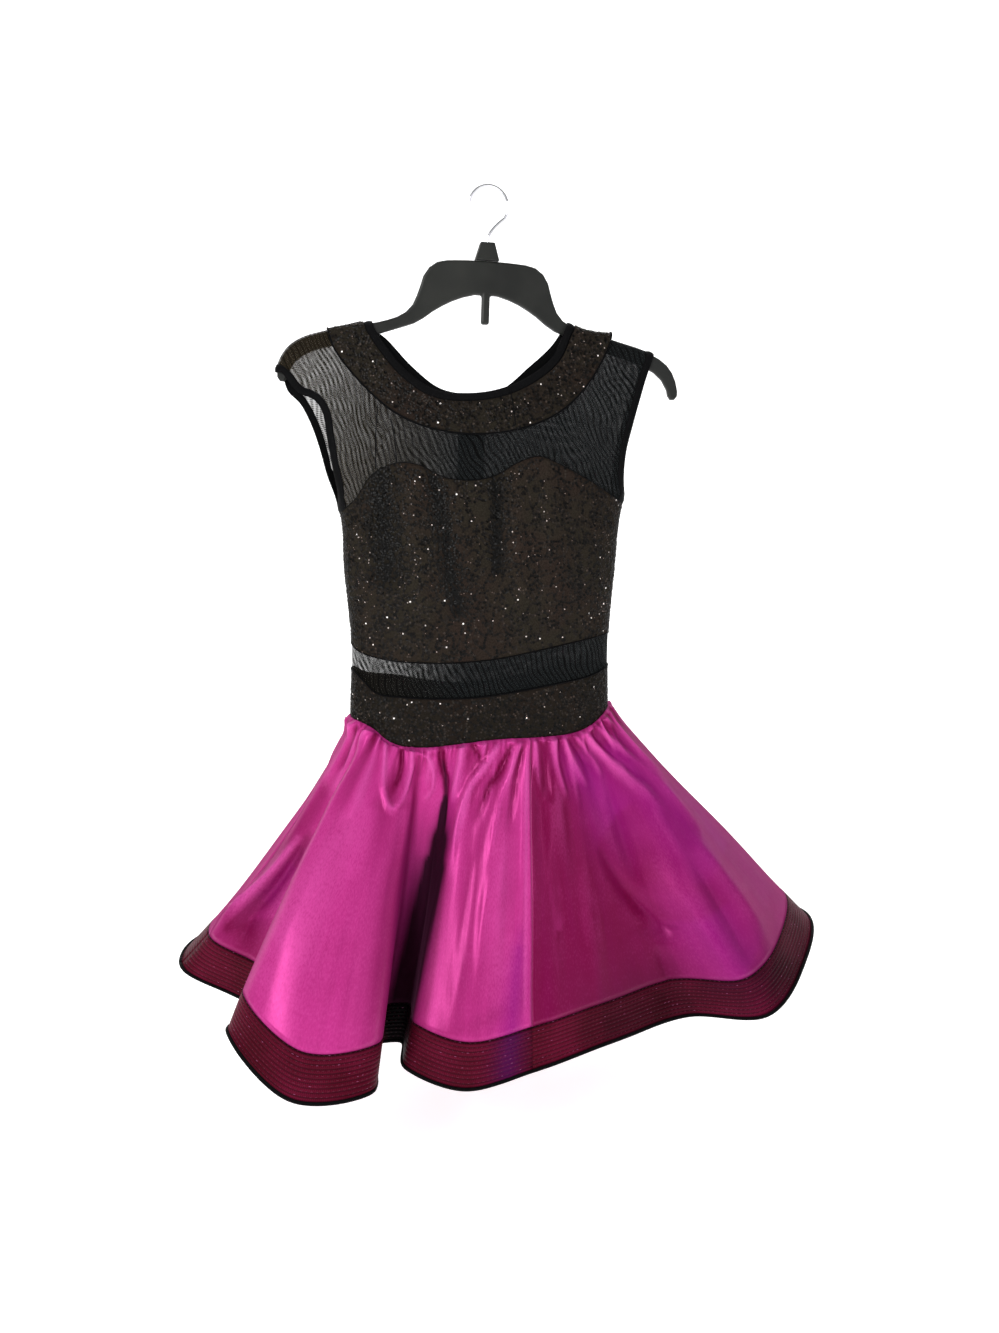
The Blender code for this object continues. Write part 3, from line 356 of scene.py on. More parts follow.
VIOLET_AND_SHEEN = {
    "front_left": (
        (1.00, 14, 44, ((12.5, 0.70), (11.5, 0.85), (10, 1.20))),
        (0.30, 12, 20, ((-10, 0.10), (-9, 0.4))),
        (0.45, 24, 34, ((-80, 0.60), (-82, 0.8))),
    ),
    "front_right": (
        (0.90, 22, 60, ((33, 0.09), (44, 0.20), (52, 0.38))),
        (0.80, 20, 60, ((54, 0.08), (66, 0.28), (72, 0.70))),
        (1.00, 14, 30, ((72, 0.30), (80, 0.50), (78, 0.68))),
        (0.90, 50, 60, ((61, 0.74), (62, 0.90), (64, 1.0))),
        (0.60, 40, 60, ((84, 0.30), (82, 0.95))),
    ),
    "back_right": (
        (0.70, 20, 50, ((96, 0.20), (100, 0.60))),
        (0.50, 30, 60, ((134, 0.20), (134, 0.5))),
        (0.50, 30, 60, ((165, 0.60), (166, 1.0))),
    ),
    "back_left": (
        (0.50, 30, 60, ((200, 0.20), (204, 0.50))),
        (0.50, 30, 60, ((238, 0.60), (240, 1.0))),
    ),
}
# Where the satin catches most light, and deep folds that none reaches, with the same columns
LIT = (
    (0.70, 3, 4, ((14.2, 0.01), (14.0, 0.40), (14.0, 0.80), (14.2, 0.97))),
    (0.35, 4, 14, ((44, 0.03), (53, 0.10), (62, 0.22))),
    (0.50, 2.5, 4, ((34, 0.02), (38, 0.07))),
    (0.45, 2.5, 7, ((3.5, 0.02), (0.5, 0.09), (-3.5, 0.19), (-5, 0.34))),
    (0.35, 26, 50, ((-46, 0.25), (-48, 0.60), (-48, 0.80))),
    (0.40, 3, 6, ((-9, 0.02), (-9, 0.20))),
    (0.45, 3, 5, ((-45, 0.02), (-42, 0.07), (-38, 0.16), (-35.5, 0.24))),
    (0.5, 4, 8, ((-66, 0.02), (-72, 0.14), (-76, 0.3))),
    (0.22, 12, 40, ((6, 0.30), (7, 0.60), (8, 0.85))),
    (0.30, 16, 40, ((98, 0.05), (112, 0.40))),
    (0.30, 20, 40, ((160, 0.1), (162, 0.7))),
    (0.30, 20, 40, ((206, 0.10), (212, 0.70))),
    (0.25, 12, 24, ((88, 0.35), (88, 0.95))),
    (0.90, 5, 9, ((-82.5, 0.52), (-85.5, 0.72), (-89, 0.86))),
    (0.40, 8, 14, ((-76, 0.50), (-77, 0.80))),
)
DARK_FOLDS = (
    (0.80, 2.5, 4, ((-15.5, 0.06), (-13.8, 0.14), (-12.6, 0.24))),
    (2.20, 4, 20, ((-13.2, 0.20), (-12.6, 0.34), (-12.4, 0.5))),
    (4.00, 26, 66, ((-12.8, 0.40), (-14, 0.70), (-16, 1.20))),
    (0.60, 24, 30, ((-65, 0.76), (-64, 1.15))),
    (1.00, 14, 50, ((145, 0.45), (145, 1.15))),
    (1.00, 14, 50, ((184, 0.45), (184, 1.15))),
    (1.00, 14, 50, ((222, 0.45), (222, 1.15))),
    (0.40, 20, 40, ((98, 0.70), (98, 1.15))),
    (0.55, 40, 50, ((68, 1.02), (76, 1.20))),
    (0.50, 56, 70, ((30, 1.09), (44, 1.09), (54, 1.09))),
)
# Painted shade in the gathers' troughs and painted highlight on their tops, for each mm of their height
GATHER_SHADE = 0.30
GATHER_LIGHT = 0.24
# How the gathers vary: share of their size, of their reach and of their pitch
GATHER_SPREAD = (0.55, 1.45)
GATHER_REACHES = (0.4, 1.7)
GATHER_SPACING = (0.6, 1.4)
GATHER_FADE = 1.3
# Where a crease counts as one that starts at the waist, and where the slow unevenness is full
WAIST_SHARE = 0.1
UNEVEN_FROM = 0.2
# Cloth round each place that its height near the waist is set against, in columns
TONE_SPAN = 12
TONE_STEP = 3
TONE_FROM = 0.05
TONE_REACH = 0.25
# How close the satin's rows lie to the waist, and how much of a crease is left at the braid and at the hem
ROW_CROWDING = 1.35
CREASE_LEFT = (0.5, 0.3)

# Sequins: spacing, size, cup, lean, and gap to the panel's edges
SEQUIN_PITCH = 2.8
SEQUIN_RADIUS = 1.3
SEQUIN_SIDES = 6
SEQUIN_CUP = 0.25
SEQUIN_TILT = 0.13
SEQUIN_MARGIN = 1.5
SEQUIN_COVER = 0.78
SEQUIN_APART = 0.8
# Threads of sequins: how many on each, tries for each sequin, first bend, share of it kept, and new bend
SEQUINS_PER_RUN = (8, 50)
TRIES_EACH = 4
FIRST_BEND = 0.3
BEND_KEPT = 0.75
NEW_BEND = 0.34
# Least and last place of a thread's start in rows and columns, and the least size of a cell
FIRST_CELL = 0.2
LAST_CELL = 1.2
WITHIN_CELL = 0.9
LEAST_CELL = 0.05
# Tones: range of the plain sequins, least of the bright ones, which are painted glints, their range and how
# rare the brightest are
PLAIN_TONES = (0.05, 0.93)
RIB_TONE = 0.94
PLAIN_END = 0.95
BRIGHT_TONE = 0.955
BRIGHT_RANGE = 0.045
BRIGHT_RARITY = 2.8
SPARKLE_CHANCE = 0.028
# Sizes: spread of all, least and growth of the painted glints, and largest and loss of the plain ones
SEQUIN_SIZES = (0.85, 1.1)
BRIGHT_SIZE = 0.4
BRIGHT_GROWTH = 8
DARK_SIZE = 1.35
PALE_LOSS = 0.4
# Streaks: chance of a painted glint along a bright one, share of the threads that start in a dark one, spread
# of their starts, and the darkness of the painted shade along the dark ones
STREAK_SPARKLE = 0.12
STREAK_RUNS = 0.36
STREAK_SPREAD = 0.6
STREAK_SHADE = 0.6
STREAK_DIMS = 0.9
STREAK_STILLS = 0.7
# Least darkness of the ground under the sequins
COLLAR_SHADE = 0.25
WAISTBAND_SHADE = 0.5
BODICE_SHADE = 0.08
# Streaks of the bodice by side: x at the top and foot, height of each end, half width, and how they look:
# dark ones are painted shade along its folds, with the sequins closer there, bright ones painted highlight
# along its ribs
SEQUIN_STREAKS = {
    -1: (
        (-121, -116, -287, -405, 15, "dark"),
        (-67, -42, -292, -440, 10, "dark"),
        (-1, 0, -299, -400, 7, "dark"),
        (22, 25, -281, -425, 6, "bright"),
        (-146, -136, -350, -450, 8, "bright"),
        (-93, -84, -304, -430, 4, "bright"),
        (54, 50, -282, -440, 4, "bright"),
        (126, 120, -360, -460, 8, "bright"),
    ),
    1: (
        (-112, -104, -330, -450, 8, "dark"),
        (-58, -52, -318, -470, 7, "dark"),
        (62, 58, -322, -450, 8, "dark"),
        (10, 12, -316, -470, 6, "bright"),
        (-88, -80, -330, -440, 5, "bright"),
        (104, 98, -330, -450, 6, "bright"),
    ),
}

# How far each layer stands off the body's surface, and how thick its cloth is
NET_LIES = 0.5
BODICE_LIES = 1.0
COLLAR_LIES = 2.4
PLACKET_LIES = 2.2
CLOTH_THICKNESS = 0.7
SATIN_LIES = 0.9
SATIN_THICKNESS = 0.6
BRAID_LIES = 1.2
BRAID_THICKNESS = 0.9
BRAID_MIDDLE = 0.7
SEQUIN_LIFT = 0.45
SEAM_LIFT = 0.3
PLACKET_COLUMNS = 13
PLAIN_BRAID = 0.3
# Bindings: spans of the section round it, share of the width that is rounded, and how far each face lies out
BINDING_SIDES = 5
BINDING_ROUND = 0.08
BINDING_OUTER = (0.2, 2.0)
BINDING_INNER = (0.1, -0.1)
BINDING_SEAM = 0.75
BINDING_STITCH_LIES = 1.5
# Cords: sides of their section, then radii of the hem's rolled edge, the seams of the collar, bodice and
# band, the creases of the net and the skirt's seam
CORD_SIDES = 8
HEM_ROLL = 1.9
COLLAR_CORD = 1.0
BODICE_FOOT_CORD = 0.8
BODICE_TOP_CORD = 0.5
CREASE_CORD = 0.55
SEAM_CORD = 0.35
# Outer corner of the collar that stands up at the right shoulder seam
COLLAR_FLAP_RISE = 5.0
COLLAR_FLAP_REACH = 10.0
# Creases of the net and the collar's seam, as x and height
NET_CREASES = (((-121, -222), (-124, -250), (-125.5, -290)), ((-108.5, -238), (-105, -260), (-103.5, -283)))
COLLAR_SEAM = ((18.5, -208), (20.5, -226), (22, -245))
# Stitches: sides of their section; length, gap and radius of the thread
STITCH_SIDES = 4
BINDING_STITCH = (2.4, 1.0, 0.22)
BRAID_STITCH = (3.0, 2.2, 0.22)
BRAID_STITCH_ROWS = 10
BRAID_STITCH_PLACES = (0.02, 0.94)
BRAID_STITCH_LIES = 1.25

# Stage in metres: floor, rounded foot and backdrop
FLOOR_HEIGHT = -1.06
STAGE_HALF_WIDTH = 6.0
STAGE_FRONT = -5.0
STAGE_BACK = 2.6
STAGE_CURVE = 1.2
STAGE_CURVE_STEPS = 16
STAGE_TOP = 3.6
STAGE_GLOW = 0.6
# Lights: name, place, what it points at, size, power and colour
LIT_MIDDLE = (-0.02, 0, -0.55)
WHITE = (1, 1, 1)
LIGHTS = (
    ("key", (-1.3, -2.3, 0.7), LIT_MIDDLE, 0.9, 42, WHITE),
    ("fill", (2.0, -1.8, 0.3), LIT_MIDDLE, 1.6, 7, (0.93, 0.92, 1.0)),
    ("back", (0.6, 2.0, 1.0), LIT_MIDDLE, 1.4, 7, WHITE),
    ("backdrop wash", (0, 1.0, 2.8), (0, 2.2, -0.8), 2.6, 60, WHITE),
    ("sparkle left", (-0.9, -1.6, 0.35), LIT_MIDDLE, 0.08, 3, WHITE),
    ("sparkle right", (0.8, -1.8, 0.1), LIT_MIDDLE, 0.08, 2, WHITE))
WORLD_COLOUR = (0.97, 0.98, 1.0)
WORLD_STRENGTH = 0.18

# Camera in metres, solved from the photograph's rows of pixels
CAMERA_PLACE = (-0.17454, -1.17213, -0.29074)
CAMERA_TURN = math.radians(-9.0)
FOCAL_PIXELS = 1065.0
PHOTO_HEIGHT = 1333
HORIZON_ROW = 470.0
CAMERA_PITCH = math.atan((PHOTO_HEIGHT / 2 - HORIZON_ROW) / FOCAL_PIXELS)
SENSOR = 36.0
CLIP_START = 0.02


# Shape of the costume

def dense_curve(points, per_span=16):
    """Points close together on a smooth curve through the given ones."""
    points = np.asarray(points, float)
    ends = np.vstack([2 * points[0] - points[1], points, 2 * points[-1] - points[-2]])
    curve = []
    for i in range(1, len(ends) - 2):
        before, start, end, after = ends[i - 1:i + 3]
        knots = np.cumsum([0] + [max(np.linalg.norm(b - a), 1e-9) ** 0.5
                                 for a, b in ((before, start), (start, end), (end, after))])
        for t in np.linspace(knots[1], knots[2], per_span, endpoint=False):
            a1 = blend(before, start, t, knots[0], knots[1])
            a2 = blend(start, end, t, knots[1], knots[2])
            a3 = blend(end, after, t, knots[2], knots[3])
            b1 = blend(a1, a2, t, knots[0], knots[2])
            b2 = blend(a2, a3, t, knots[1], knots[3])
            curve.append(blend(b1, b2, t, knots[1], knots[2]))
    curve.append(points[-1])
    return np.array(curve)


def blend(first, second, t, start=0, end=1):
    share = (t - start) / (end - start)
    return first * (1 - share) + second * share


def lengths_along(curve):
    return np.concatenate([[0], np.cumsum(np.linalg.norm(np.diff(curve, axis=0), axis=1))])


def unit(vectors):
    return vectors / np.linalg.norm(vectors, axis=-1)[..., None]


def square_to(direction):
    """Two directions square to each of the given ones and to each other."""
    helper = np.where(np.abs(direction[:, 2:3]) < UPRIGHT, (0.0, 0.0, 1.0), (0.0, 1.0, 0.0))
    side = unit(np.cross(direction, helper))
    return side, np.cross(direction, side)


def along(curve, places):
    """Points of a dense curve at the given shares of its length."""
    length = lengths_along(curve)
    places = np.asarray(places, float) * length[-1]
    return np.stack([np.interp(places, length, curve[:, k]) for k in range(curve.shape[1])], -1)


def turned(point, angle=HANGER_TILT):
    """A point of the upright hanger, carried round with its tilt."""
    x, z = point
    return x * math.cos(angle) + z * math.sin(angle), z * math.cos(angle) - x * math.sin(angle)


def make_shoulder_line():
    """Upper line of the cloth over the hanger's arms, from the left tip to the right one."""
    right = dense_curve([(x, -drop) for x, drop in ARM_TOP], 12)
    tangent = np.gradient(right, axis=0)
    right = right + unit(np.stack([-tangent[:, 1], tangent[:, 0]], -1)) * SHOULDER_CLEARANCE
    left = right[::-1] * (-1, 1)
    return np.array([turned(point) for point in np.vstack([left, right])])


SHOULDER = make_shoulder_line()
SHOULDER_STEPS = lengths_along(SHOULDER)
BODY_CURVE = dense_curve(BODY, 10)
EDGE_CURVES = {place: dense_curve(points, 8) for place, points in EDGES.items()}


def shoulder_at(distance):
    """Point of the shoulder line and its upward normal at a distance along it."""
    point, ahead, behind = (np.array([np.interp(distance + step, SHOULDER_STEPS, SHOULDER[:, k])
                                      for k in range(2)]) for step in (0, 1, -1))
    tangent = unit(ahead - behind)
    return point, np.array([-tangent[1], tangent[0]])


def shoulder_distance(x):
    return float(np.interp(x, SHOULDER[:, 0], SHOULDER_STEPS))


def below_shoulder(x, z):
    """Shortest distance of each place to the shoulder line, and the upward normal there."""
    start, end = SHOULDER[:-1], SHOULDER[1:]
    span = end - start
    place = np.stack([x, z], -1)[..., None, :]
    share = np.clip(np.sum((place - start) * span, axis=-1) / np.sum(span * span, axis=-1), 0, 1)
    away = start + span * share[..., None] - place
    distance = np.linalg.norm(away, axis=-1)
    nearest = np.argmin(distance, axis=-1)
    normal = unit(np.stack([-span[nearest, 1], span[nearest, 0]], -1))
    return np.take_along_axis(distance, nearest[..., None], -1)[..., 0], normal


def body_at(height):
    """Left side, right side, front depth and back depth of the body at each height."""
    return [np.interp(-height, -BODY_CURVE[:, 0], BODY_CURVE[:, k]) for k in range(1, 5)]


def across(turn, height):
    left, right = body_at(height)[:2]
    wave = np.copysign(np.abs(np.sin(turn)) ** (2 / SQUARENESS), turn)
    return (left + right) / 2 + (right - left) / 2 * wave


def turn_of(x, height):
    left, right = body_at(height)[:2]
    share = np.clip((x - (left + right) / 2) / ((right - left) / 2), -1, 1)
    return np.copysign(np.arcsin(np.abs(share) ** (SQUARENESS / 2)), share)


def fold_rise(side, x, z):
    rise = np.zeros_like(x)
    for top_x, foot_x, top, foot, height, width in (FRONT_FOLDS if side < 0 else BACK_FOLDS):
        share = np.clip((top - z) / (top - foot), 0, 1)
        offset = (x - top_x - (foot_x - top_x) * share) / width
        rise += height * np.exp(-offset * offset) * np.sin(math.pi * share) ** FOLD_FADE
    return rise


def surface(side, turn, z):
    """Points of the body's surface: side -1 in front and +1 behind, turn across it, height."""
    x = across(turn, z)
    depth = body_at(z)[2 if side < 0 else 3]
    depth = depth * np.copysign(np.abs(np.cos(turn)) ** (2 / SQUARENESS), np.cos(turn))
    fall = below_shoulder(x, z)[0]
    inside = SHOULDER_ROLL - np.minimum(fall, SHOULDER_ROLL)
    roll = np.sqrt(SHOULDER_ROLL ** 2 - inside ** 2)
    ease = 1 - (1 - np.minimum(fall / SHOULDER_FALL, 1)) ** 2
    rise = fold_rise(side, x, z) * np.abs(np.cos(turn)) ** FOLD_SPREAD
    return np.stack([x, side * (roll + (depth - SHOULDER_ROLL) * ease + rise), z], -1)


def lift(side, rows, seam_columns=()):
    """Rows of turn and height as points on the body with normals; seam columns lie on the shoulder seam."""
    rows = np.asarray(rows, float)
    turn, z = rows[..., 0], rows[..., 1]
    points = surface(side, turn, z)
    level = surface(side, turn + STEP_TURN, z) - surface(side, turn - STEP_TURN, z)
    upright = surface(side, turn, z + STEP_HEIGHT) - surface(side, turn, z - STEP_HEIGHT)
    normals = unit(np.cross(level, upright) * -side)
    for column in seam_columns:
        normal = below_shoulder(points[:, column, 0], points[:, column, 2])[1]
        points[:, column, 1] = 0
        normals[:, column] = np.stack([normal[:, 0], 0 * normal[:, 0], normal[:, 1]], -1)
    return points, normals


def roll_points(distance):
    """Points square to the shoulder seam, down over the roll of the cloth on the arm."""
    point, normal = shoulder_at(distance)
    falls = [SHOULDER_ROLL * (1 - math.cos(math.radians(step))) for step in ROLL_STEPS]
    return [point - normal * fall for fall in falls]


def seam_to_seam(seams, points):
    """Edge from one shoulder seam to the other, as points in x and z, with close ones on the rolls."""
    first = roll_points(seams[0])
    last = roll_points(seams[1])[::-1]
    cells = YOKE_COLUMNS - 2 * (len(ROLL_STEPS) - 1)
    middle = along(dense_curve([first[-1], *points, last[0]]), np.linspace(0, 1, cells + 1))
    return np.array(first[:-1] + list(middle) + last[1:])


def beside(edge, seams, width):
    """A seam-to-seam edge moved down over the body by a width."""
    tangent = np.gradient(edge, axis=0)
    moved = edge + unit(np.stack([tangent[:, 1], -tangent[:, 0]], -1)) * width
    rolls = len(ROLL_STEPS)
    moved[:rolls] = roll_points(seams[0])
    moved[-rolls:] = roll_points(seams[1])[::-1]
    return moved


def lay_rows(first, last, first_seams, last_seams, shares):
    """Rows from one edge to another, whose outer columns follow the shoulder seams."""
    rolls = len(ROLL_STEPS)
    reach = len(first) // 4
    rows = []
    for share in shares:
        row = first * (1 - share) + last * share
        for end, inward in ((0, 1), (1, -1)):
            on_roll = roll_points(first_seams[end] * (1 - share) + last_seams[end] * share)
            columns = [inward * step - end for step in range(rolls + reach)]
            shift = on_roll[-1] - row[columns[rolls - 1]]
            for step, column in enumerate(columns):
                if step < rolls:
                    row[column] = on_roll[step]
                else:
                    row[column] += shift * (1 - (step - rolls + 1) / (reach + 1)) ** 2
        rows.append(row)
    return np.array(rows)


def turns_of(rows):
    """Rows of x and z as rows of turn and height."""
    rows = np.asarray(rows, float)
    return np.stack([turn_of(rows[..., 0], rows[..., 1]), rows[..., 1]], -1)


def to_places(line):
    """A line of turns and heights as x and z."""
    return np.stack([across(line[:, 0], line[:, 1]), line[:, 1]], -1)


def front_turns():
    left = np.linspace(-90, SKIRT_SEAM_TURN, COLUMNS_LEFT + 1)
    right = np.linspace(SKIRT_SEAM_TURN, 90, COLUMNS_RIGHT + 1)
    return np.radians(np.concatenate([left, right[1:]]))


def back_turns():
    return np.radians(np.linspace(-90, 90, COLUMNS_LEFT + COLUMNS_RIGHT + 1))


def side_to_side(edge, side, turns):
    """Turn and height of an edge's points, one for each column of the body."""
    curve = EDGE_CURVES[edge, side]
    low = np.full(len(turns), SEARCH_HEIGHTS[0])
    high = np.full(len(turns), SEARCH_HEIGHTS[1])
    for _ in range(SEARCH_STEPS):
        middle = (low + high) / 2
        above = np.interp(across(turns, middle), curve[:, 0], curve[:, 1]) > middle
        low, high = np.where(above, middle, low), np.where(above, high, middle)
    middle[0], middle[-1] = SIDE_HEIGHTS[edge]
    return np.stack([turns, middle], -1)


def between(first, last, count):
    return np.array([first * (1 - share) + last * share for share in np.linspace(0, 1, count + 1)])


def turn_near(side, point):
    """Turn and height of the place on the body nearest to a point close to it."""
    x, y, z = point
    left, right, front, back = body_at(z)
    if below_shoulder(x, z)[0] < SHOULDER_FALL:
        return float(turn_of(x, z)), z
    share = (x - (left + right) / 2) / ((right - left) / 2)
    deep = abs(y) / (front if side < 0 else back)
    wave = math.atan2(abs(share) ** (SQUARENESS / 2), deep ** (SQUARENESS / 2))
    return math.copysign(wave, share), z


def armhole_edges(side, end, points, top):
    """Free and sewn edge of an armhole's binding from the shoulder down, as turns and heights."""
    towards_neck = 1 if end == 0 else -1
    rolls = len(ROLL_STEPS)
    free_roll = roll_points(ARMHOLE_SEAMS[end])
    sewn_roll = roll_points(ARMHOLE_SEAMS[end] + towards_neck * ARMHOLE_BINDING)
    foot = (body_at(ARMPITS[end])[end], ARMPITS[end])
    curve = turns_of(dense_curve([free_roll[-1], *points, foot]))
    length = lengths_along(lift(side, [curve])[0][0])
    corner = length[-1] - ARMPIT_REACH
    places = np.concatenate([np.linspace(0, corner, ARMHOLE_COLUMNS + 1),
                             np.linspace(corner, length[-1], ARMPIT_COLUMNS + 1)[1:]])
    middle = np.stack([np.interp(places, length, curve[:, k]) for k in range(2)], -1)
    free = np.vstack([turns_of(free_roll[:-1]), middle])
    points, normals = (grid[0] for grid in lift(side, [free], [0]))
    aside = np.cross(normals, np.gradient(points, axis=0))
    aside *= ARMHOLE_BINDING / np.linalg.norm(aside, axis=1)[:, None]
    aside *= math.copysign(1, aside[rolls, 0] * towards_neck)
    upper = [turn_near(side, point) for point in (points + aside)[rolls:-ARMPIT_COLUMNS - 1]]
    lower = top[:ARMPIT_COLUMNS + 1][::-1] if end == 0 else top[-ARMPIT_COLUMNS - 1:]
    return free, np.vstack([turns_of(sewn_roll), upper, lower])


YOKE_COLUMNS = 2 * (len(ROLL_STEPS) - 1 + ARMHOLE_COLUMNS - ARMPIT_COLUMNS) + COLUMNS_LEFT + COLUMNS_RIGHT
NECK_SEAM_PLACES = [shoulder_distance(x) for x in NECK_SEAMS]
COLLAR_SEAM_PLACES = [shoulder_distance(x) for x in COLLAR_SEAMS]
ARMHOLE_SEAMS = (ARMHOLE_SEAMS_FROM_TIPS[0], float(SHOULDER_STEPS[-1]) - ARMHOLE_SEAMS_FROM_TIPS[1])


def upper_grids(side):
    """Neck edge, collar and yoke of the front or back, and the armholes' edges, as points and normals."""
    front = side < 0
    turns = front_turns() if front else back_turns()
    neck = seam_to_seam(NECK_SEAM_PLACES, NECK_FRONT if front else NECK_BACK)
    binding_seams = (NECK_SEAM_PLACES[0] - NECK_BINDING, NECK_SEAM_PLACES[1] + NECK_BINDING)
    binding_foot = beside(neck, binding_seams, NECK_BINDING)
    collar = seam_to_seam(COLLAR_SEAM_PLACES, COLLAR_FRONT if front else COLLAR_BACK)
    top = side_to_side("top", side, turns)
    armholes = {name: armhole_edges(side, end, ARMHOLES[name, side], top)
                for end, name in enumerate(("left", "right"))}
    to_corner = -ARMPIT_COLUMNS - 1
    outer = to_places(np.vstack([armholes["left"][1][:to_corner], top[ARMPIT_COLUMNS:-ARMPIT_COLUMNS],
                                 armholes["right"][1][:to_corner][::-1]]))
    yoke_seams = (ARMHOLE_SEAMS[0] + ARMHOLE_BINDING, ARMHOLE_SEAMS[1] - ARMHOLE_BINDING)
    collar_shares = np.linspace(0, 1, COLLAR_ROWS + 1)
    yoke_shares = np.linspace(0, 1, YOKE_ROWS + 1)
    rows = [lay_rows(binding_foot, collar, binding_seams, COLLAR_SEAM_PLACES, collar_shares),
            lay_rows(collar, outer, COLLAR_SEAM_PLACES, yoke_seams, yoke_shares)[1:]]
    seams = (0, -1)
    return {"binding": lift(side, turns_of([neck, binding_foot]), seams),
            "yoke": lift(side, turns_of(np.vstack(rows)), seams),
            "armholes": {name: lift(side, edges, (0,)) for name, edges in armholes.items()}}


def lower_grids(side):
    """Bodice, net midriff and waistband of the front or back, as points and normals."""
    turns = front_turns() if side < 0 else back_turns()
    edges = [side_to_side(edge, side, turns) for edge in ("top", "bodice foot", "band top", "waist")]
    return [lift(side, between(edges[i], edges[i + 1], count))
            for i, count in enumerate((BODICE_ROWS, NET_ROWS, BAND_ROWS))]


def hem_at(angles):
    """Hem point and bow of the fold at each turn round the waist, from the table of folds."""
    table = np.array(HEM_FOLDS, float)
    before, after = table[-3:].copy(), table[:3].copy()
    before[:, 0] -= 360
    after[:, 0] += 360
    curve = dense_curve(np.vstack([before, table, after]))
    return np.stack([np.interp(angles, curve[:, 0], curve[:, k]) for k in range(1, 5)], -1)


def waist_ring():
    """Points, normals, turns and cell places right round the waist, closer in cells where the hem is long."""
    columns = []
    for side, turns, order in ((-1, front_turns(), 1), (1, back_turns(), -1)):
        edge = side_to_side("waist", side, turns)[::order]
        points, normals = (grid[0] for grid in lift(side, [edge]))
        angles = np.degrees(edge[:, 0])
        if side > 0:
            angles = 180 - angles
        for i in range(len(turns) - 1):
            hem = hem_at(np.linspace(angles[i], angles[i + 1], CELL_SAMPLES))[:, :3]
            steps = max(1, round(lengths_along(hem)[-1] / HEM_STEP))
            cell = (COLUMNS_LEFT + COLUMNS_RIGHT) * (side > 0) + i
            for share in np.arange(steps) / steps:
                columns.append([*blend(points[i], points[i + 1], share),
                                *blend(normals[i], normals[i + 1], share),
                                blend(angles[i], angles[i + 1], share), cell + share])
    columns = np.array(columns)
    return columns[:, :3], unit(columns[:, 3:6]), columns[:, 6], columns[:, 7]


def make_gathers(length):
    """Gathers right round the waist: place, rise, reach, half width and lean of each."""
    rng = np.random.default_rng(SEED)
    gathers = []
    for pitch, rise, reach, width in GATHER_SIZES:
        place = rng.uniform(0, pitch)
        while place < length:
            size = rng.uniform(*GATHER_SPREAD)
            gathers.append((place, rise * size, reach * rng.uniform(*GATHER_REACHES), width * size,
                            rng.uniform(-GATHER_LEAN, GATHER_LEAN)))
            place += pitch * rng.uniform(*GATHER_SPACING)
    return np.array(gathers)


def ridge(offset, width):
    return np.exp(-np.abs(offset / width) ** CREASE_SHARPNESS)


def around(offset, length):
    """Shortest signed distance round a ring."""
    return (offset + length / 2) % length - length / 2


def drawn_line(places, turns, shares, widths, points, ends=TINT_ENDS):
    """How close each place of the skirt lies to a line drawn on it, as a profile that fades at its ends."""
    length = places[-1] + places[1]
    line = dense_curve([(np.interp(turn, turns, places), share) for turn, share in points], LINE_SAMPLES)
    stretch = 1 + (FLARE - 1) * shares[:, None]
    nearest = np.full((len(shares), len(places)), np.inf)
    share_along = np.zeros_like(nearest)
    for i, (start, end) in enumerate(zip(line[:-1], line[1:])):
        run = (end[0] - start[0]) * stretch
        drop = (end[1] - start[1]) * SATIN_LENGTH
        offset = around(places - start[0], length) * stretch
        down = (shares[:, None] - start[1]) * SATIN_LENGTH
        t = np.clip((offset * run + down * drop) / (run ** 2 + drop ** 2), 0, 1)
        away = (offset - t * run) ** 2 + (down - t * drop) ** 2
        closer = away < nearest
        nearest = np.where(closer, away, nearest)
        share_along = np.where(closer, (i + t) / (len(line) - 1), share_along)
    width = widths[0] + (widths[1] - widths[0]) * share_along
    fade = np.clip(share_along / ends[0], ends[2], 1) * np.clip((1 - share_along) / ends[1], ends[2], 1)
    return ridge(np.sqrt(nearest), width) * np.sin(fade * math.pi / 2)


def crease_rise(places, turns, shares):
    """Height of the satin's creases, gathers and unevenness over its rows and columns."""
    length = places[-1] + places[1]
    rise = np.zeros((len(shares), len(places)))
    for height, first, last, points in CREASES:
        ends = CREASE_ENDS if points[0][1] < WAIST_SHARE else OPEN_CREASE_ENDS
        rise += height * drawn_line(places, turns, shares, (first, last), points, ends)
    place, height, reach, width, lean = make_gathers(length).T
    for r, share in enumerate(shares):
        fade = np.clip(1 - share / reach, 0, 1) ** GATHER_FADE * min(1.0, share / GATHER_START)
        offset = around(places[:, None] - place - lean * share, length)
        rise[r] += (height * fade * ridge(offset, width)).sum(axis=1)
        for waves, down, swell, start in UNEVENNESS:
            swing = np.sin(FULL_TURN * (waves * places / length + down * share) + start)
            rise[r] += swell * swing * min(1.0, share / UNEVEN_FROM)
    rise -= GATHER_SINK * np.exp(-shares / GATHER_SIZES[0][2])[:, None]
    rise += (PUFF_RISE * shares / PUFF_PLACE * np.exp(1 - shares / PUFF_PLACE))[:, None]
    return rise


def gather_tone(rise, shares):
    """How far each place of the satin lies above the cloth round it, near the waist."""
    padded = np.pad(rise, ((0, 0), (TONE_SPAN, TONE_SPAN)), mode="wrap")
    mean = np.mean([padded[:, k:k + rise.shape[1]] for k in range(0, 2 * TONE_SPAN + 1, TONE_STEP)], axis=0)
    return (rise - mean) * np.exp(-np.maximum(shares - TONE_FROM, 0) / TONE_REACH)[:, None]


def tint(places, turns, shares, lines):
    """Values from 0 to 1 over rows and columns of the skirt, from soft lines drawn on it."""
    value = np.zeros((len(shares), len(places)))
    for strength, first, last, points in lines:
        value = np.maximum(value, strength * drawn_line(places, turns, shares, (first, last), points))
    return np.clip(value, 0, 1)


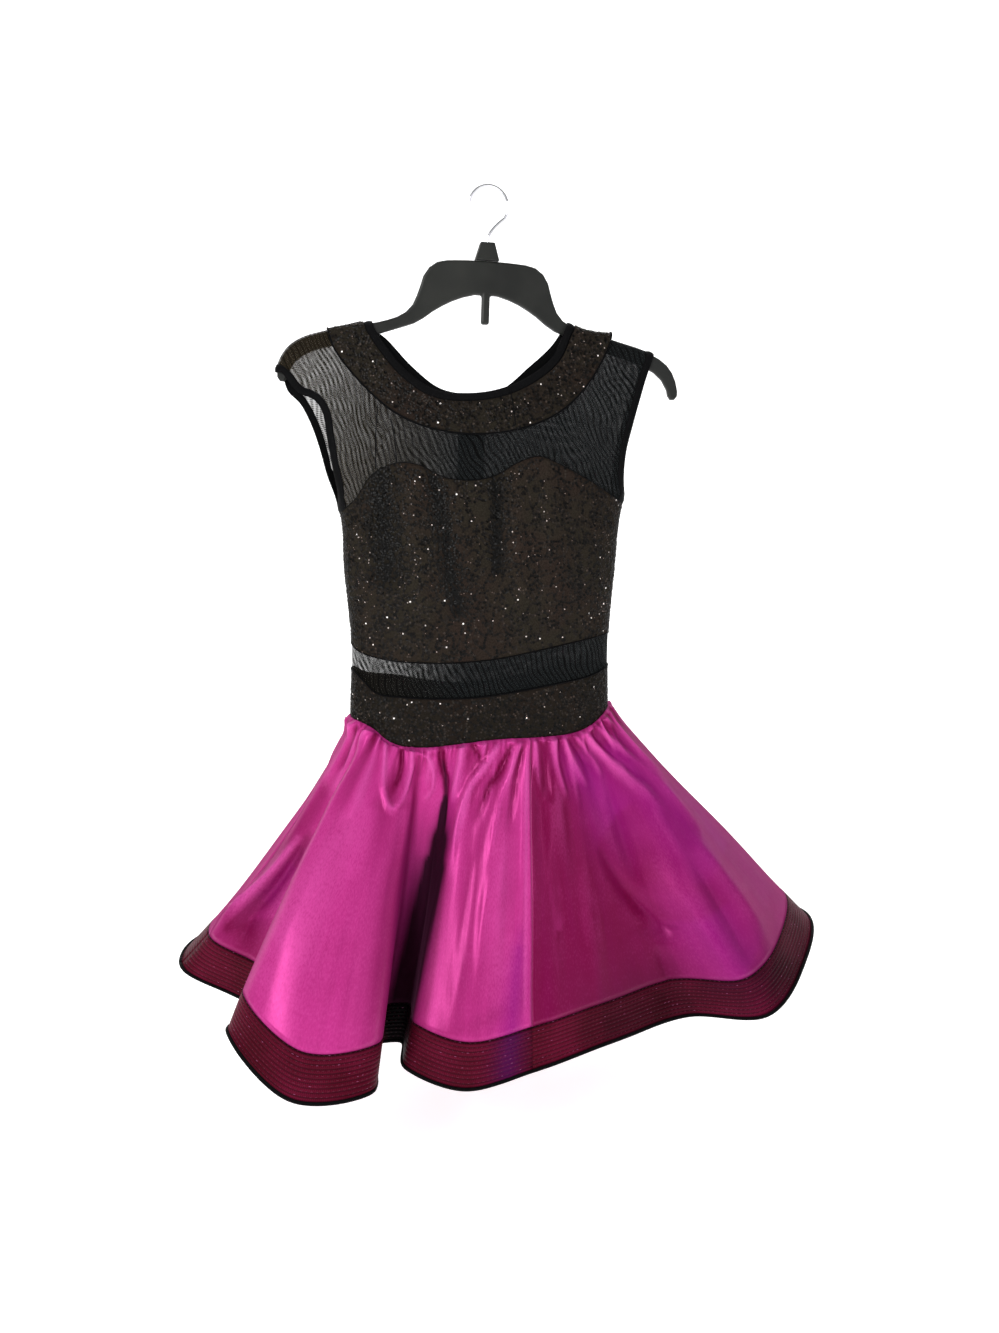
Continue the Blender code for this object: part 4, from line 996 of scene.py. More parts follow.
def skirt_grid():
    """Satin and braid right round, as rows of points and normals, with the first column of each panel."""
    waist, waist_normals, angles, cells = waist_ring()
    hem = hem_at(angles)
    bow = hem[:, 3]
    slant = SATIN_LENGTH + BRAID_LENGTH + HEM_EDGE_LENGTH
    satin_end = SATIN_LENGTH / slant
    shares = np.concatenate([satin_end * np.linspace(0, 1, SATIN_ROWS + 1) ** ROW_CROWDING,
                             np.linspace(satin_end, 1, BRAID_ROWS + 1)[1:]])
    rows = []
    for share in shares:
        out = max(share - STAND, 0) / (1 - STAND)
        out = out + 2 * bow * out * (1 - out)
        row = waist + (hem[:, :3] - waist) * np.stack([out, out, np.full(len(out), share)], -1)
        reach = share / PUCKER_REACH
        if 0 < reach < 1:
            wave = 0.5 - 0.5 * np.cos(FULL_TURN * cells / PUCKER_CELLS)
            row = row + waist_normals * (wave * PUCKER_RISE * (1 - reach) ** 2)[:, None]
        rows.append(row)
    rows = np.array(rows)
    level = np.roll(rows, -1, axis=1) - np.roll(rows, 1, axis=1)
    normals = unit(np.cross(level, -np.gradient(rows, axis=0)))
    normals[0] = waist_normals
    places = lengths_along(waist)
    shares = shares / satin_end
    rise = crease_rise(places, angles, shares)
    calm = np.interp(shares, (0, 1 - CALM_FOOT, 1, shares[-1]), (1, 1, *CREASE_LEFT))
    rows += normals * (rise * calm[:, None])[..., None]
    side_cells = COLUMNS_LEFT + COLUMNS_RIGHT
    seam_cells = (0, COLUMNS_LEFT, side_cells, side_cells + side_cells // 2, 2 * side_cells)
    seams = [int(np.searchsorted(cells, cell)) for cell in seam_cells]
    return rows, normals, seams, (places, angles, shares), gather_tone(rise, shares)


# Meshes

def as_mesh(name, verts, faces, material, uv=None, marks=None):
    """Object from vertices in millimetres and faces, with a UV map in metres and values for each vertex."""
    data = bpy.data.meshes.new(name)
    data.from_pydata((np.asarray(verts) * MM).tolist(), [], faces)
    if uv is not None:
        layer = data.uv_layers.new(name="cloth")
        corners = np.empty(len(data.loops), dtype=np.int32)
        data.loops.foreach_get("vertex_index", corners)
        layer.data.foreach_set("uv", np.asarray(uv, np.float32)[corners].ravel())
    for label, values in (marks or {}).items():
        attribute = data.attributes.new(label, "FLOAT", "POINT")
        attribute.data.foreach_set("value", np.asarray(values, np.float32).ravel())
    data.validate()
    data.shade_smooth()
    item = bpy.data.objects.new(name, data)
    bpy.context.scene.collection.objects.link(item)
    data.materials.append(material)
    return item


def grid_faces(rows, columns):
    r, c = np.meshgrid(np.arange(rows - 1), np.arange(columns - 1), indexing="ij")
    corner = (r * columns + c).ravel()
    return np.stack([corner, corner + columns, corner + columns + 1, corner + 1], -1).tolist()


def grid_uv(points):
    """Cloth coordinates of a grid in metres: across from its middle column, and down from its first row."""
    rows, columns = points.shape[:2]
    step_u = np.linalg.norm(np.diff(points, axis=1), axis=2).mean(axis=0)
    step_v = np.linalg.norm(np.diff(points, axis=0), axis=2).mean(axis=1)
    u = np.concatenate([[0], np.cumsum(step_u)])
    v = np.concatenate([[0], np.cumsum(step_v)])
    u -= u[columns // 2]
    return np.stack([np.tile(u, (rows, 1)), np.tile(-v[:, None], (1, columns))], -1).reshape(-1, 2) * MM


def cloth(name, points, normals, offset, thickness, material, marks=None):
    """Sheet of cloth on a grid, moved out from it, with a real thickness where one is given."""
    laid = points + normals * offset
    item = as_mesh(name, laid.reshape(-1, 3), grid_faces(*laid.shape[:2]), material, grid_uv(points), marks)
    point_outwards(item, laid, normals)
    if thickness:
        wall = item.modifiers.new("thickness", "SOLIDIFY")
        wall.thickness = thickness * MM
        wall.offset = -1
        apply_modifiers(item)
    return item


def point_outwards(item, points, normals):
    """Turns the faces over where they look into the body."""
    row, column = points.shape[0] // 2, points.shape[1] // 2
    index = min(row, points.shape[0] - 2) * (points.shape[1] - 1) + min(column, points.shape[1] - 2)
    if item.data.polygons[index].normal.dot(Vector(normals[row, column])) < 0:
        item.data.flip_normals()


def apply_modifiers(item):
    bpy.ops.object.select_all(action="DESELECT")
    item.select_set(True)
    bpy.context.view_layer.objects.active = item
    for modifier in list(item.modifiers):
        bpy.ops.object.modifier_apply(modifier=modifier.name)


def belongs(item, nodes):
    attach(item, "root")
    if nodes:
        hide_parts(*nodes)
    return item


def band_profile(points, normals, inner, outer):
    """Rounded section over a binding's two edges: rings of points across it for every column."""
    rings = []
    for share in np.linspace(0, 1, BINDING_SIDES + 1):
        inside = min(max(share, BINDING_ROUND), 1 - BINDING_ROUND)
        crown = inner + (outer - inner) * math.sin(math.pi * inside) ** 0.5
        outward = unit(blend(normals[0], normals[-1], share))
        rings.append(blend(points[0], points[-1], share) + outward * crown)
    return np.array(rings)


# Sequins

def sequins_on(name, grid, offset, seed, material, side=0):
    """Sequins sewn along wandering threads over a panel, closer along its dark folds, as one joined mesh."""
    points, normals = grid
    rng = np.random.default_rng(seed)
    rows, columns = points.shape[:2]
    width = np.linalg.norm(np.gradient(points, axis=1), axis=2)
    length = np.linalg.norm(np.gradient(points, axis=0), axis=2)
    wanted = int(float(np.sum(width * length)) * SEQUIN_COVER / SEQUIN_PITCH ** 2)
    streaks = [streak for streak in SEQUIN_STREAKS.get(side, ()) if streak[5] == "dark"]
    taken = set()
    places = []
    tries = 0
    while len(places) < wanted and tries < wanted * TRIES_EACH:
        r, c = rng.uniform(FIRST_CELL, rows - LAST_CELL), rng.uniform(FIRST_CELL, columns - LAST_CELL)
        if streaks and rng.uniform() < STREAK_RUNS:
            r, c = start_in_streak(points, streaks[rng.integers(len(streaks))], rng)
        heading = rng.uniform(0, FULL_TURN)
        bend = rng.normal(0, FIRST_BEND)
        for _ in range(rng.integers(*SEQUINS_PER_RUN)):
            tries += 1
            i, j = int(r), int(c)
            key = tuple(sample(points, r, c) // (SEQUIN_PITCH * SEQUIN_APART))
            if key in taken:
                break
            taken.add(key)
            places.append((r, c))
            bend = BEND_KEPT * bend + rng.normal(0, NEW_BEND)
            heading += bend
            cell_length, cell_width = max(length[i, j], LEAST_CELL), max(width[i, j], LEAST_CELL)
            r += math.sin(heading) * SEQUIN_PITCH / cell_length
            c += math.cos(heading) * SEQUIN_PITCH / cell_width
            margin_r, margin_c = SEQUIN_MARGIN / cell_length, SEQUIN_MARGIN / cell_width
            if not (margin_r < r < rows - 1 - margin_r and margin_c < c < columns - 1 - margin_c):
                break
    places = np.array(places)
    centre = sample(points, places[:, 0], places[:, 1])
    normal = unit(sample(normals, places[:, 0], places[:, 1]))
    normal = unit(normal + rng.normal(0, SEQUIN_TILT, normal.shape))
    tone = sequin_tones(centre, side, rng)
    return sequin_mesh(name, centre + normal * offset, normal, tone, rng, material)


def start_in_streak(points, streak, rng):
    """Row and column of a random place inside a streak of the cloth."""
    top_x, foot_x, top, foot, width, _ = streak
    share = rng.uniform()
    x = top_x + (foot_x - top_x) * share + rng.normal(0, width * STREAK_SPREAD)
    z = top + (foot - top) * share
    rows, columns = points.shape[:2]
    nearest = np.argmin((points[..., 0] - x) ** 2 + (points[..., 2] - z) ** 2)
    return (min(nearest // columns + rng.uniform(0, WITHIN_CELL), rows - LAST_CELL),
            min(nearest % columns + rng.uniform(0, WITHIN_CELL), columns - LAST_CELL))


def in_streak(points, streak):
    """Values from 0 to 1, highest along the middle of a streak of the cloth."""
    top_x, foot_x, top, foot, width, _ = streak
    share = np.clip((points[..., 2] - top) / (foot - top), 0, 1)
    inside = ridge(points[..., 0] - top_x - (foot_x - top_x) * share, width)
    below_top = np.clip((top + width - points[..., 2]) / width, 0, 1)
    above_foot = np.clip((points[..., 2] - foot + width) / width, 0, 1)
    return inside * (below_top * above_foot)


def streak_shade(points, side, least):
    """Darkness of the ground under the sequins at each place: a least value, more along its dark streaks as
    painted shade of the folds, and less along its bright streaks as painted highlight of the ribs.
    """
    shade = np.full(points.shape[:2], least)
    for streak in SEQUIN_STREAKS.get(side, ()):
        if streak[5] == "dark":
            shade = np.maximum(shade, STREAK_SHADE * in_streak(points, streak))
        else:
            shade *= 1 - in_streak(points, streak)
    return shade


def sequin_tones(centre, side, rng):
    """Tone of each sequin: nearly all dark, a few warm, and bright ones that are painted glints, more of them
    along the ribs as painted highlight, with fewer glints and dimmer sequins along the dark streaks as
    painted shade.
    """
    count = len(centre)
    tone = rng.uniform(*PLAIN_TONES, count)
    chance = np.full(count, SPARKLE_CHANCE)
    for streak in SEQUIN_STREAKS.get(side, ()):
        inside = in_streak(centre, streak)
        if streak[5] == "bright":
            chance += inside * STREAK_SPARKLE
            tone = np.maximum(tone, inside * rng.uniform(0, RIB_TONE, count))
        else:
            tone *= 1 - STREAK_DIMS * inside
            chance *= 1 - STREAK_STILLS * inside
    bright = rng.uniform(0, 1, count) < chance
    return np.where(bright, BRIGHT_TONE + BRIGHT_RANGE * rng.uniform(0, 1, count) ** BRIGHT_RARITY, tone)


def sample(grid, r, c):
    """Values of a grid between its rows and columns."""
    r, c = np.asarray(r), np.asarray(c)
    i = np.clip(r.astype(int), 0, grid.shape[0] - 2)
    j = np.clip(c.astype(int), 0, grid.shape[1] - 2)
    fr, fc = (r - i)[..., None], (c - j)[..., None]
    return ((grid[i, j] * (1 - fc) + grid[i, j + 1] * fc) * (1 - fr)
            + (grid[i + 1, j] * (1 - fc) + grid[i + 1, j + 1] * fc) * fr)


def sequin_mesh(name, centre, normal, tone, rng, material):
    """Cupped sequins with flat sides at the given places, each with its own tone."""
    count = len(centre)
    helper = np.where(np.abs(normal[:, 2:3]) < UPRIGHT, (0.0, 0.0, 1.0), (1.0, 0.0, 0.0))
    side = unit(np.cross(helper, normal))
    other = np.cross(normal, side)
    spin = rng.uniform(0, FULL_TURN, count)
    plain_size = DARK_SIZE - PALE_LOSS * tone
    bright_size = BRIGHT_SIZE + BRIGHT_GROWTH * (tone - BRIGHT_TONE)
    size = np.where(tone > PLAIN_END, bright_size, plain_size)
    radius = (SEQUIN_RADIUS * rng.uniform(*SEQUIN_SIZES, count) * size)[:, None]
    verts = [centre - normal * SEQUIN_CUP]
    for k in range(SEQUIN_SIDES):
        angle = (spin + k * FULL_TURN / SEQUIN_SIDES)[:, None]
        verts.append(centre + (side * np.cos(angle) + other * np.sin(angle)) * radius)
    verts = np.stack(verts, axis=1).reshape(-1, 3)
    first = np.arange(count) * (SEQUIN_SIDES + 1)
    faces = np.concatenate([np.stack([first, first + 1 + k, first + 1 + (k + 1) % SEQUIN_SIDES], -1)
                            for k in range(SEQUIN_SIDES)])
    item = as_mesh(name, verts, faces.tolist(), material, marks={"tone": np.repeat(tone, SEQUIN_SIDES + 1)})
    item.data.polygons.foreach_set("use_smooth", [False] * len(item.data.polygons))
    return item


def stitches_along(name, lines, material, slot_name, length, gap, radius):
    """Short pointed threads end to end along lines of points, as one joined mesh with a tone for each."""
    rng = np.random.default_rng(SEED)
    starts, ends = [], []
    for line in lines:
        total = lengths_along(line)
        count = int(total[-1] // (length + gap))
        first = (np.arange(count) + rng.uniform(0, 0.5)) * (length + gap)
        starts.append(np.stack([np.interp(first, total, line[:, k]) for k in range(3)], -1))
        ends.append(np.stack([np.interp(first + length, total, line[:, k]) for k in range(3)], -1))
    starts, ends = np.concatenate(starts), np.concatenate(ends)
    side, other = square_to(unit(ends - starts))
    middle = (starts + ends) / 2
    verts = np.stack([starts, middle + side * radius, middle + other * radius, middle - side * radius,
                      middle - other * radius, ends], axis=1).reshape(-1, 3)
    each = STITCH_SIDES + 2
    first = np.arange(len(starts)) * each
    turns = [(first + 1 + k, first + 1 + (k + 1) % STITCH_SIDES) for k in range(STITCH_SIDES)]
    faces = [np.stack([first, after, before], -1) for before, after in turns]
    faces += [np.stack([first + each - 1, before, after], -1) for before, after in turns]
    tone = np.repeat(rng.uniform(0, 1, len(starts)), each)
    item = as_mesh(name, verts, np.concatenate(faces).tolist(), material, marks={"tone": tone})
    face_outwards(item)
    return belongs(item, [])


# Materials

class Nodes:
    """Short way to add and link the nodes of a material or a group."""

    def __init__(self, tree):
        self.tree = tree

    def fill(self, node, values):
        """Sets inputs of a node by name or number, and links those that are given another node's output."""
        for key, value in dict(values).items():
            if isinstance(value, bpy.types.NodeSocket):
                self.tree.links.new(value, node.inputs[key])
            else:
                node.inputs[key].default_value = value
        return node

    def add(self, kind, values=(), **settings):
        node = self.tree.nodes.new(kind)
        for key, value in settings.items():
            setattr(node, key, value)
        return self.fill(node, values)

    def math(self, operation, a, b=0.0, c=0.5, clamp=False):
        return self.add("ShaderNodeMath", {0: a, 1: b, 2: c}, operation=operation, use_clamp=clamp).outputs[0]

    def times(self, a, b):
        return self.math("MULTIPLY", a, b)

    def plus(self, a, b, clamp=False):
        return self.math("ADD", a, b, clamp=clamp)

    def swing(self, value, size):
        """A value from 0 to 1 as one that swings to both sides of nothing."""
        return self.times(self.math("SUBTRACT", value, 0.5), size)

    def mix(self, factor, a, b):
        """Blend of two colours, each given as three numbers or another node's output."""
        a, b = ((*value, 1) if isinstance(value, tuple) else value for value in (a, b))
        return self.add("ShaderNodeMix", {0: factor, 6: a, 7: b}, data_type="RGBA").outputs[2]

    def ranged(self, value, low, high, start=0.0, end=1.0):
        """A value carried over from one range to another."""
        return self.add("ShaderNodeMapRange", {0: value, 1: low, 2: high, 3: start, 4: end}).outputs[0]

    def ramp(self, factor, stops):
        node = self.add("ShaderNodeValToRGB", {0: factor})
        elements = node.color_ramp.elements
        while len(elements) < len(stops):
            elements.new(0.5)
        for element, (place, colour) in zip(elements, stops):
            element.position = place
            element.color = (*colour, 1)
        return node.outputs[0]

    def noise(self, vector, scale, detail=3.0, roughness=0.5):
        return self.add("ShaderNodeTexNoise", {"Vector": vector, "Scale": scale, "Detail": detail,
                                               "Roughness": roughness}).outputs[0]

    def stretched_noise(self, vector, stretch, detail, roughness):
        place = self.add("ShaderNodeMapping", {"Vector": vector, "Scale": stretch}).outputs[0]
        return self.noise(place, 1.0, detail, roughness)


def srgb(red, green, blue):
    """Linear colour of an 8-bit screen colour."""
    return tuple((value / 255) ** 2.2 for value in (red, green, blue))


# Satin: colours, some of them for painted highlight, painted shade and painted sheen, then how strong its
# streaks, threads, tints and painted lit lines are
PINK = (0.54, 0.036, 0.245)
DEEP_WINE = (0.165, 0.0015, 0.042)
VIOLET_TINT = (0.30, 0.008, 0.195)
SATIN_LIGHT = (0.72, 0.10, 0.40)
FOLD_SHADE = (0.003, 0.001, 0.002)
EDGE_ON_SHADE = (0.26, 0.001, 0.10)
SATIN_STREAKS = (60.0, 4.0, 1.0)
SATIN_THREADS = (900.0, 260.0, 1.0)
STREAK_STRENGTH = 0.6
STREAK_VIOLET = 0.5
UNEVEN_WINE = 0.18
VIOLET_STRENGTH = 0.8
GRAIN_FLECK = 0.25
THREAD_FLECK = 0.8
FLECK_SHADE = 0.7
WINE_CALM = 0.6
LIT_STRENGTH = 0.8
# Satin seen along its surface: range of the turn away, how deep the painted shade there gets and how rough
EDGE_RANGE = (0.40, 0.85)
EDGE_DEPTH = 0.8
EDGE_ROUGHNESS = 0.7
DARK_ROUGHNESS = 0.5
SATIN_SHINE = (0.25, 0.12)
SATIN_BUMP = (0.0014, 0.35)
SATIN_GRAIN_RISE = 0.04
# Net in metres: holes, the lean of their three rows, its bands, and where it is open, cool and low down
NET_HOLE = 0.0014
NET_ROWS_LEAN = ((1.0, 0.577), (1.0, -0.577), (0.0, 1.155))
NET_BAND_ACROSS = 1050.0
NET_BAND_DOWN = 420.0
NET_BAND_WARP = 56.0
NET_BAND_DEPTH = 0.8
NET_UNEVEN_DEPTH = 0.7
NET_LEFT = -0.19
NET_RIGHT = -0.02
NET_COOL = -0.04
NET_TOP = -0.18
NET_FOOT = -0.30
NET_CLOSE = (-0.5, 0.25)
NET_SOFTNESS = 0.40
NET_COOL_THREAD = srgb(29, 33, 35)
NET_WORN_THREAD = srgb(46, 43, 37)
NET_DARK_LINE = srgb(8, 8, 7)
NET_LINES = (0.1, 0.9, 0.0, 0.85)
# Ground under the sequins, with its darker colour for painted shade along the bodice's folds and for a set
# least darkness of each piece, and the middle of the body that its inside faces
SEQUIN_GROUND = srgb(49, 45, 38)
WARM_GROUND = srgb(52, 43, 38)
DARK_GROUND = srgb(22, 20, 17)
SPECK_GROUND = srgb(26, 23, 20)
INSIDE_GROUND = srgb(9, 9, 8)
BODY_MIDDLE = -0.008
SPECK_SCALE = 520.0
SPECK_RANGE = (0.42, 0.62)
SPECK_STRENGTH = 0.55
# Sequin colours by tone: dark to warm, then painted glints up to near white, and the glowing of the brightest
SEQUIN_COLOURS = ((0.0, srgb(8, 8, 7)), (0.25, srgb(18, 16, 14)), (0.60, srgb(31, 27, 24)),
                  (0.88, srgb(47, 41, 36)), (0.945, srgb(70, 60, 54)), (0.955, srgb(120, 100, 94)),
                  (0.975, srgb(190, 176, 170)), (1.0, srgb(255, 250, 246)))
GLINT_GLOW = (0.9, 0.86, 0.84)
GLINT_GLOW_RANGE = (0.965, 1.0)
# Braid in metres: pitch of its ridges and cords, width of the dark line at its top; then its colours
BRAID_RIDGE = 0.0042
BRAID_CORD = 0.0019
BRAID_CORD_LEANS = (0.35, -0.35)
BRAID_EDGE = 0.0030
BRAID_WINE = srgb(86, 15, 34)
BRAID_ROSE = srgb(112, 23, 52)
BRAID_THREAD = srgb(38, 9, 22)
BRAID_FURROW = srgb(30, 7, 18)
BRAID_VIOLET = srgb(78, 20, 84)
THREAD_STRENGTH = 0.45
FURROW_STRENGTH = 0.6
BRAID_VIOLET_STRENGTH = 0.6
TOP_LINE_STRENGTH = 0.8
# How much paler than its own colour the jersey is in places
JERSEY_PALER = 2.0
JERSEY_LEAST = 0.003
# Plastic and wire of the hanger
PLASTIC_DARK = srgb(30, 31, 29)
PLASTIC_PALE = srgb(42, 43, 40)
STEEL_DARK = (0.62, 0.62, 0.64)
STEEL_PALE = (0.78, 0.78, 0.80)


def new_material(name):
    material = bpy.data.materials.new(name)
    material.use_nodes = True
    nodes = Nodes(material.node_tree)
    shader = material.node_tree.nodes["Principled BSDF"]
    return material, nodes, shader


def new_group(name, inputs, outputs):
    """Shader node group with named inputs and outputs: name, kind and default of each input."""
    tree = bpy.data.node_groups.new(name, "ShaderNodeTree")
    for label, kind, value in inputs:
        socket = tree.interface.new_socket(name=label, in_out="INPUT", socket_type=kind)
        if value is not None:
            socket.default_value = value
    for label, kind in outputs:
        tree.interface.new_socket(name=label, in_out="OUTPUT", socket_type=kind)
    nodes = Nodes(tree)
    return tree, nodes, nodes.add("NodeGroupInput"), nodes.add("NodeGroupOutput")


def place_group(nodes, tree, values):
    return nodes.add("ShaderNodeGroup", values, node_tree=tree)


def uneven(nodes, scale, low=0.35, high=0.65):
    values = {"Vector": object_vector(nodes), "Scale": scale, "Low": low, "High": high}
    return place_group(nodes, UNEVEN, values)


def knit(nodes, threads, slant):
    return place_group(nodes, GRAIN, {"Vector": cloth_vector(nodes), "Threads": threads, "Slant": slant})


def make_knit_group():
    """Fine knitted or woven grain on cloth coordinates: a height and a soft shade."""
    tree, nodes, into, out = new_group("cloth_grain", (("Vector", "NodeSocketVector", None),
                                                       ("Threads", "NodeSocketFloat", 900.0),
                                                       ("Slant", "NodeSocketFloat", 0.6)),
                                       (("Height", "NodeSocketFloat"), ("Shade", "NodeSocketFloat")))
    parts = nodes.add("ShaderNodeSeparateXYZ", {0: into.outputs["Vector"]})
    across_it = nodes.times(parts.outputs[0], into.outputs["Threads"])
    down = nodes.times(parts.outputs[1], into.outputs["Threads"])
    slanted = nodes.plus(across_it, nodes.times(down, into.outputs["Slant"]))
    rib = nodes.math("SINE", nodes.times(slanted, FULL_TURN))
    loop = nodes.math("SINE", nodes.times(down, FULL_TURN))
    nodes.fill(out, {"Height": nodes.math("MULTIPLY_ADD", nodes.times(rib, loop), 0.5),
                     "Shade": nodes.noise(into.outputs["Vector"], 60.0, 4.0, 0.6)})
    return tree


def make_wear_group():
    """Slow uneven variation over a surface, for tone and roughness."""
    tree, nodes, into, out = new_group("uneven_tone", (("Vector", "NodeSocketVector", None),
                                                       ("Scale", "NodeSocketFloat", 20.0),
                                                       ("Low", "NodeSocketFloat", 0.35),
                                                       ("High", "NodeSocketFloat", 0.65)),
                                       (("Mask", "NodeSocketFloat"), ("Fine", "NodeSocketFloat")))
    broad = nodes.noise(into.outputs["Vector"], into.outputs["Scale"], 3.0, 0.55)
    fine = nodes.noise(into.outputs["Vector"], nodes.times(into.outputs["Scale"], 9.0), 4.0, 0.6)
    nodes.fill(out, {"Mask": nodes.ranged(broad, into.outputs["Low"], into.outputs["High"]), "Fine": fine})
    return tree


GRAIN = make_knit_group()
UNEVEN = make_wear_group()


def mark(nodes, label):
    return nodes.add("ShaderNodeAttribute", attribute_name=label).outputs["Fac"]


def cloth_vector(nodes):
    return nodes.add("ShaderNodeUVMap", uv_map="cloth").outputs[0]


def object_vector(nodes):
    return nodes.add("ShaderNodeTexCoord").outputs["Object"]


def bump(nodes, shader, height, distance, strength=1.0):
    node = nodes.add("ShaderNodeBump", {"Height": height, "Distance": distance, "Strength": strength})
    nodes.fill(shader, {"Normal": node.outputs[0]})


def make_satin():
    """Magenta stretch satin: smooth shine, fine grain, deep red and purple streaks that are partly its own
    tone and partly painted shade and painted sheen, painted highlights, painted shade where it is seen
    edge-on, and deep folds painted black as shade.
    """
    material, nodes, shader = new_material("satin")
    uv = cloth_vector(nodes)
    grain = knit(nodes, 850.0, 0.5)
    tone = uneven(nodes, 7.0, 0.40, 0.68)
    streak = nodes.stretched_noise(uv, SATIN_STREAKS, 4.0, 0.6)
    streaked = nodes.swing(streak, STREAK_STRENGTH)
    # deep red tint: partly the satin's own tone and streaks, partly painted shade of its folds and gathers
    wine_and_shade = nodes.plus(mark(nodes, "wine_and_shade"), streaked)
    wine_and_shade = nodes.plus(wine_and_shade, nodes.times(tone.outputs["Mask"], UNEVEN_WINE), clamp=True)
    base = nodes.mix(wine_and_shade, PINK, DEEP_WINE)
    # purple tint: partly the satin's own shot colour, partly painted sheen
    violet_and_sheen = nodes.plus(mark(nodes, "violet_and_sheen"), nodes.times(streaked, STREAK_VIOLET), clamp=True)
    base = nodes.mix(nodes.times(violet_and_sheen, VIOLET_STRENGTH), base, VIOLET_TINT)
    fleck = nodes.swing(grain.outputs["Shade"], GRAIN_FLECK)
    thread = nodes.math("SUBTRACT", nodes.stretched_noise(uv, SATIN_THREADS, 2.0, 0.6), 0.5)
    fleck = nodes.math("MULTIPLY_ADD", thread, THREAD_FLECK, fleck)
    bright = nodes.times(fleck, nodes.math("SUBTRACT", 1.0, nodes.times(wine_and_shade, WINE_CALM)))
    # painted highlights where the satin catches light, added to the paler flecks of its grain
    light = nodes.plus(bright, nodes.times(mark(nodes, "lit"), LIT_STRENGTH), clamp=True)
    base = nodes.mix(light, base, SATIN_LIGHT)
    base = nodes.mix(nodes.math("MULTIPLY", fleck, -FLECK_SHADE, clamp=True), base, DEEP_WINE)
    # painted shade where the satin is seen edge-on
    facing = nodes.add("ShaderNodeLayerWeight", {"Blend": 0.5}).outputs["Facing"]
    edge_on = nodes.ranged(facing, *EDGE_RANGE, 0.0, EDGE_DEPTH)
    base = nodes.mix(edge_on, base, EDGE_ON_SHADE)
    # deep folds painted black as shade, and made rougher
    base = nodes.mix(mark(nodes, "dark"), base, FOLD_SHADE)
    least, spread = SATIN_SHINE
    rough = nodes.plus(nodes.times(tone.outputs["Fine"], spread), least)
    rough = nodes.math("MULTIPLY_ADD", edge_on, EDGE_ROUGHNESS, rough)
    rough = nodes.plus(rough, nodes.times(mark(nodes, "dark"), DARK_ROUGHNESS))
    nodes.fill(shader, {"Base Color": base, "Roughness": rough, "Specular IOR Level": 0.6,
                        "Specular Tint": (1.0, 0.16, 0.55, 1), "Sheen Weight": 0.02, "Sheen Roughness": 0.4,
                        "Sheen Tint": (1.0, 0.45, 0.8, 1)})
    height = nodes.plus(nodes.times(grain.outputs["Height"], SATIN_GRAIN_RISE), streak)
    bump(nodes, shader, height, *SATIN_BUMP)
    return material


def make_net(name, open_left, open_right, open_foot, threads):
    """Sheer black power net: fine round holes between black threads, closer to the right and lower down."""
    material, nodes, shader = new_material(name)
    parts = nodes.add("ShaderNodeSeparateXYZ", {0: cloth_vector(nodes)})
    waves = []
    for a, b in NET_ROWS_LEAN:
        place = nodes.plus(nodes.times(parts.outputs[0], a), nodes.times(parts.outputs[1], b))
        waves.append(nodes.math("COSINE", nodes.times(place, FULL_TURN / NET_HOLE)))
    total = nodes.plus(nodes.plus(waves[0], waves[1]), waves[2])
    place = object_vector(nodes)
    side = nodes.add("ShaderNodeSeparateXYZ", {0: place})
    close = nodes.ranged(side.outputs[0], NET_LEFT, NET_RIGHT, *NET_CLOSE)
    openness = nodes.ranged(side.outputs[0], NET_LEFT, NET_RIGHT, open_left, open_right)
    fall = nodes.ranged(side.outputs[2], NET_TOP, NET_FOOT, 1.0, open_foot)
    run = nodes.plus(nodes.times(side.outputs[0], NET_BAND_ACROSS),
                     nodes.times(side.outputs[2], NET_BAND_DOWN))
    warp = nodes.times(nodes.noise(place, 12.0, 2.0, 0.5), NET_BAND_WARP)
    bands = nodes.math("SINE", nodes.plus(run, warp))
    tone = uneven(nodes, 24.0, 0.3, 0.7)
    shift = nodes.plus(nodes.times(bands, NET_BAND_DEPTH),
                       nodes.swing(tone.outputs["Mask"], NET_UNEVEN_DEPTH))
    past_edge = nodes.math("SUBTRACT", total, nodes.plus(close, shift))
    hole = nodes.ranged(past_edge, -NET_SOFTNESS, NET_SOFTNESS)
    clear = nodes.times(nodes.times(hole, openness), fall)
    warm = nodes.ranged(side.outputs[0], NET_LEFT, NET_COOL)
    base = nodes.mix(warm, threads, NET_COOL_THREAD)
    base = nodes.mix(nodes.times(tone.outputs["Fine"], 0.3), base, NET_WORN_THREAD)
    base = nodes.mix(nodes.ranged(bands, *NET_LINES), base, NET_DARK_LINE)
    nodes.fill(shader, {"Base Color": base, "Alpha": nodes.math("SUBTRACT", 1.0, clear, clamp=True),
                        "Roughness": 0.7, "Specular IOR Level": 0.06})
    bump(nodes, shader, total, 0.0004, 0.6)
    return material


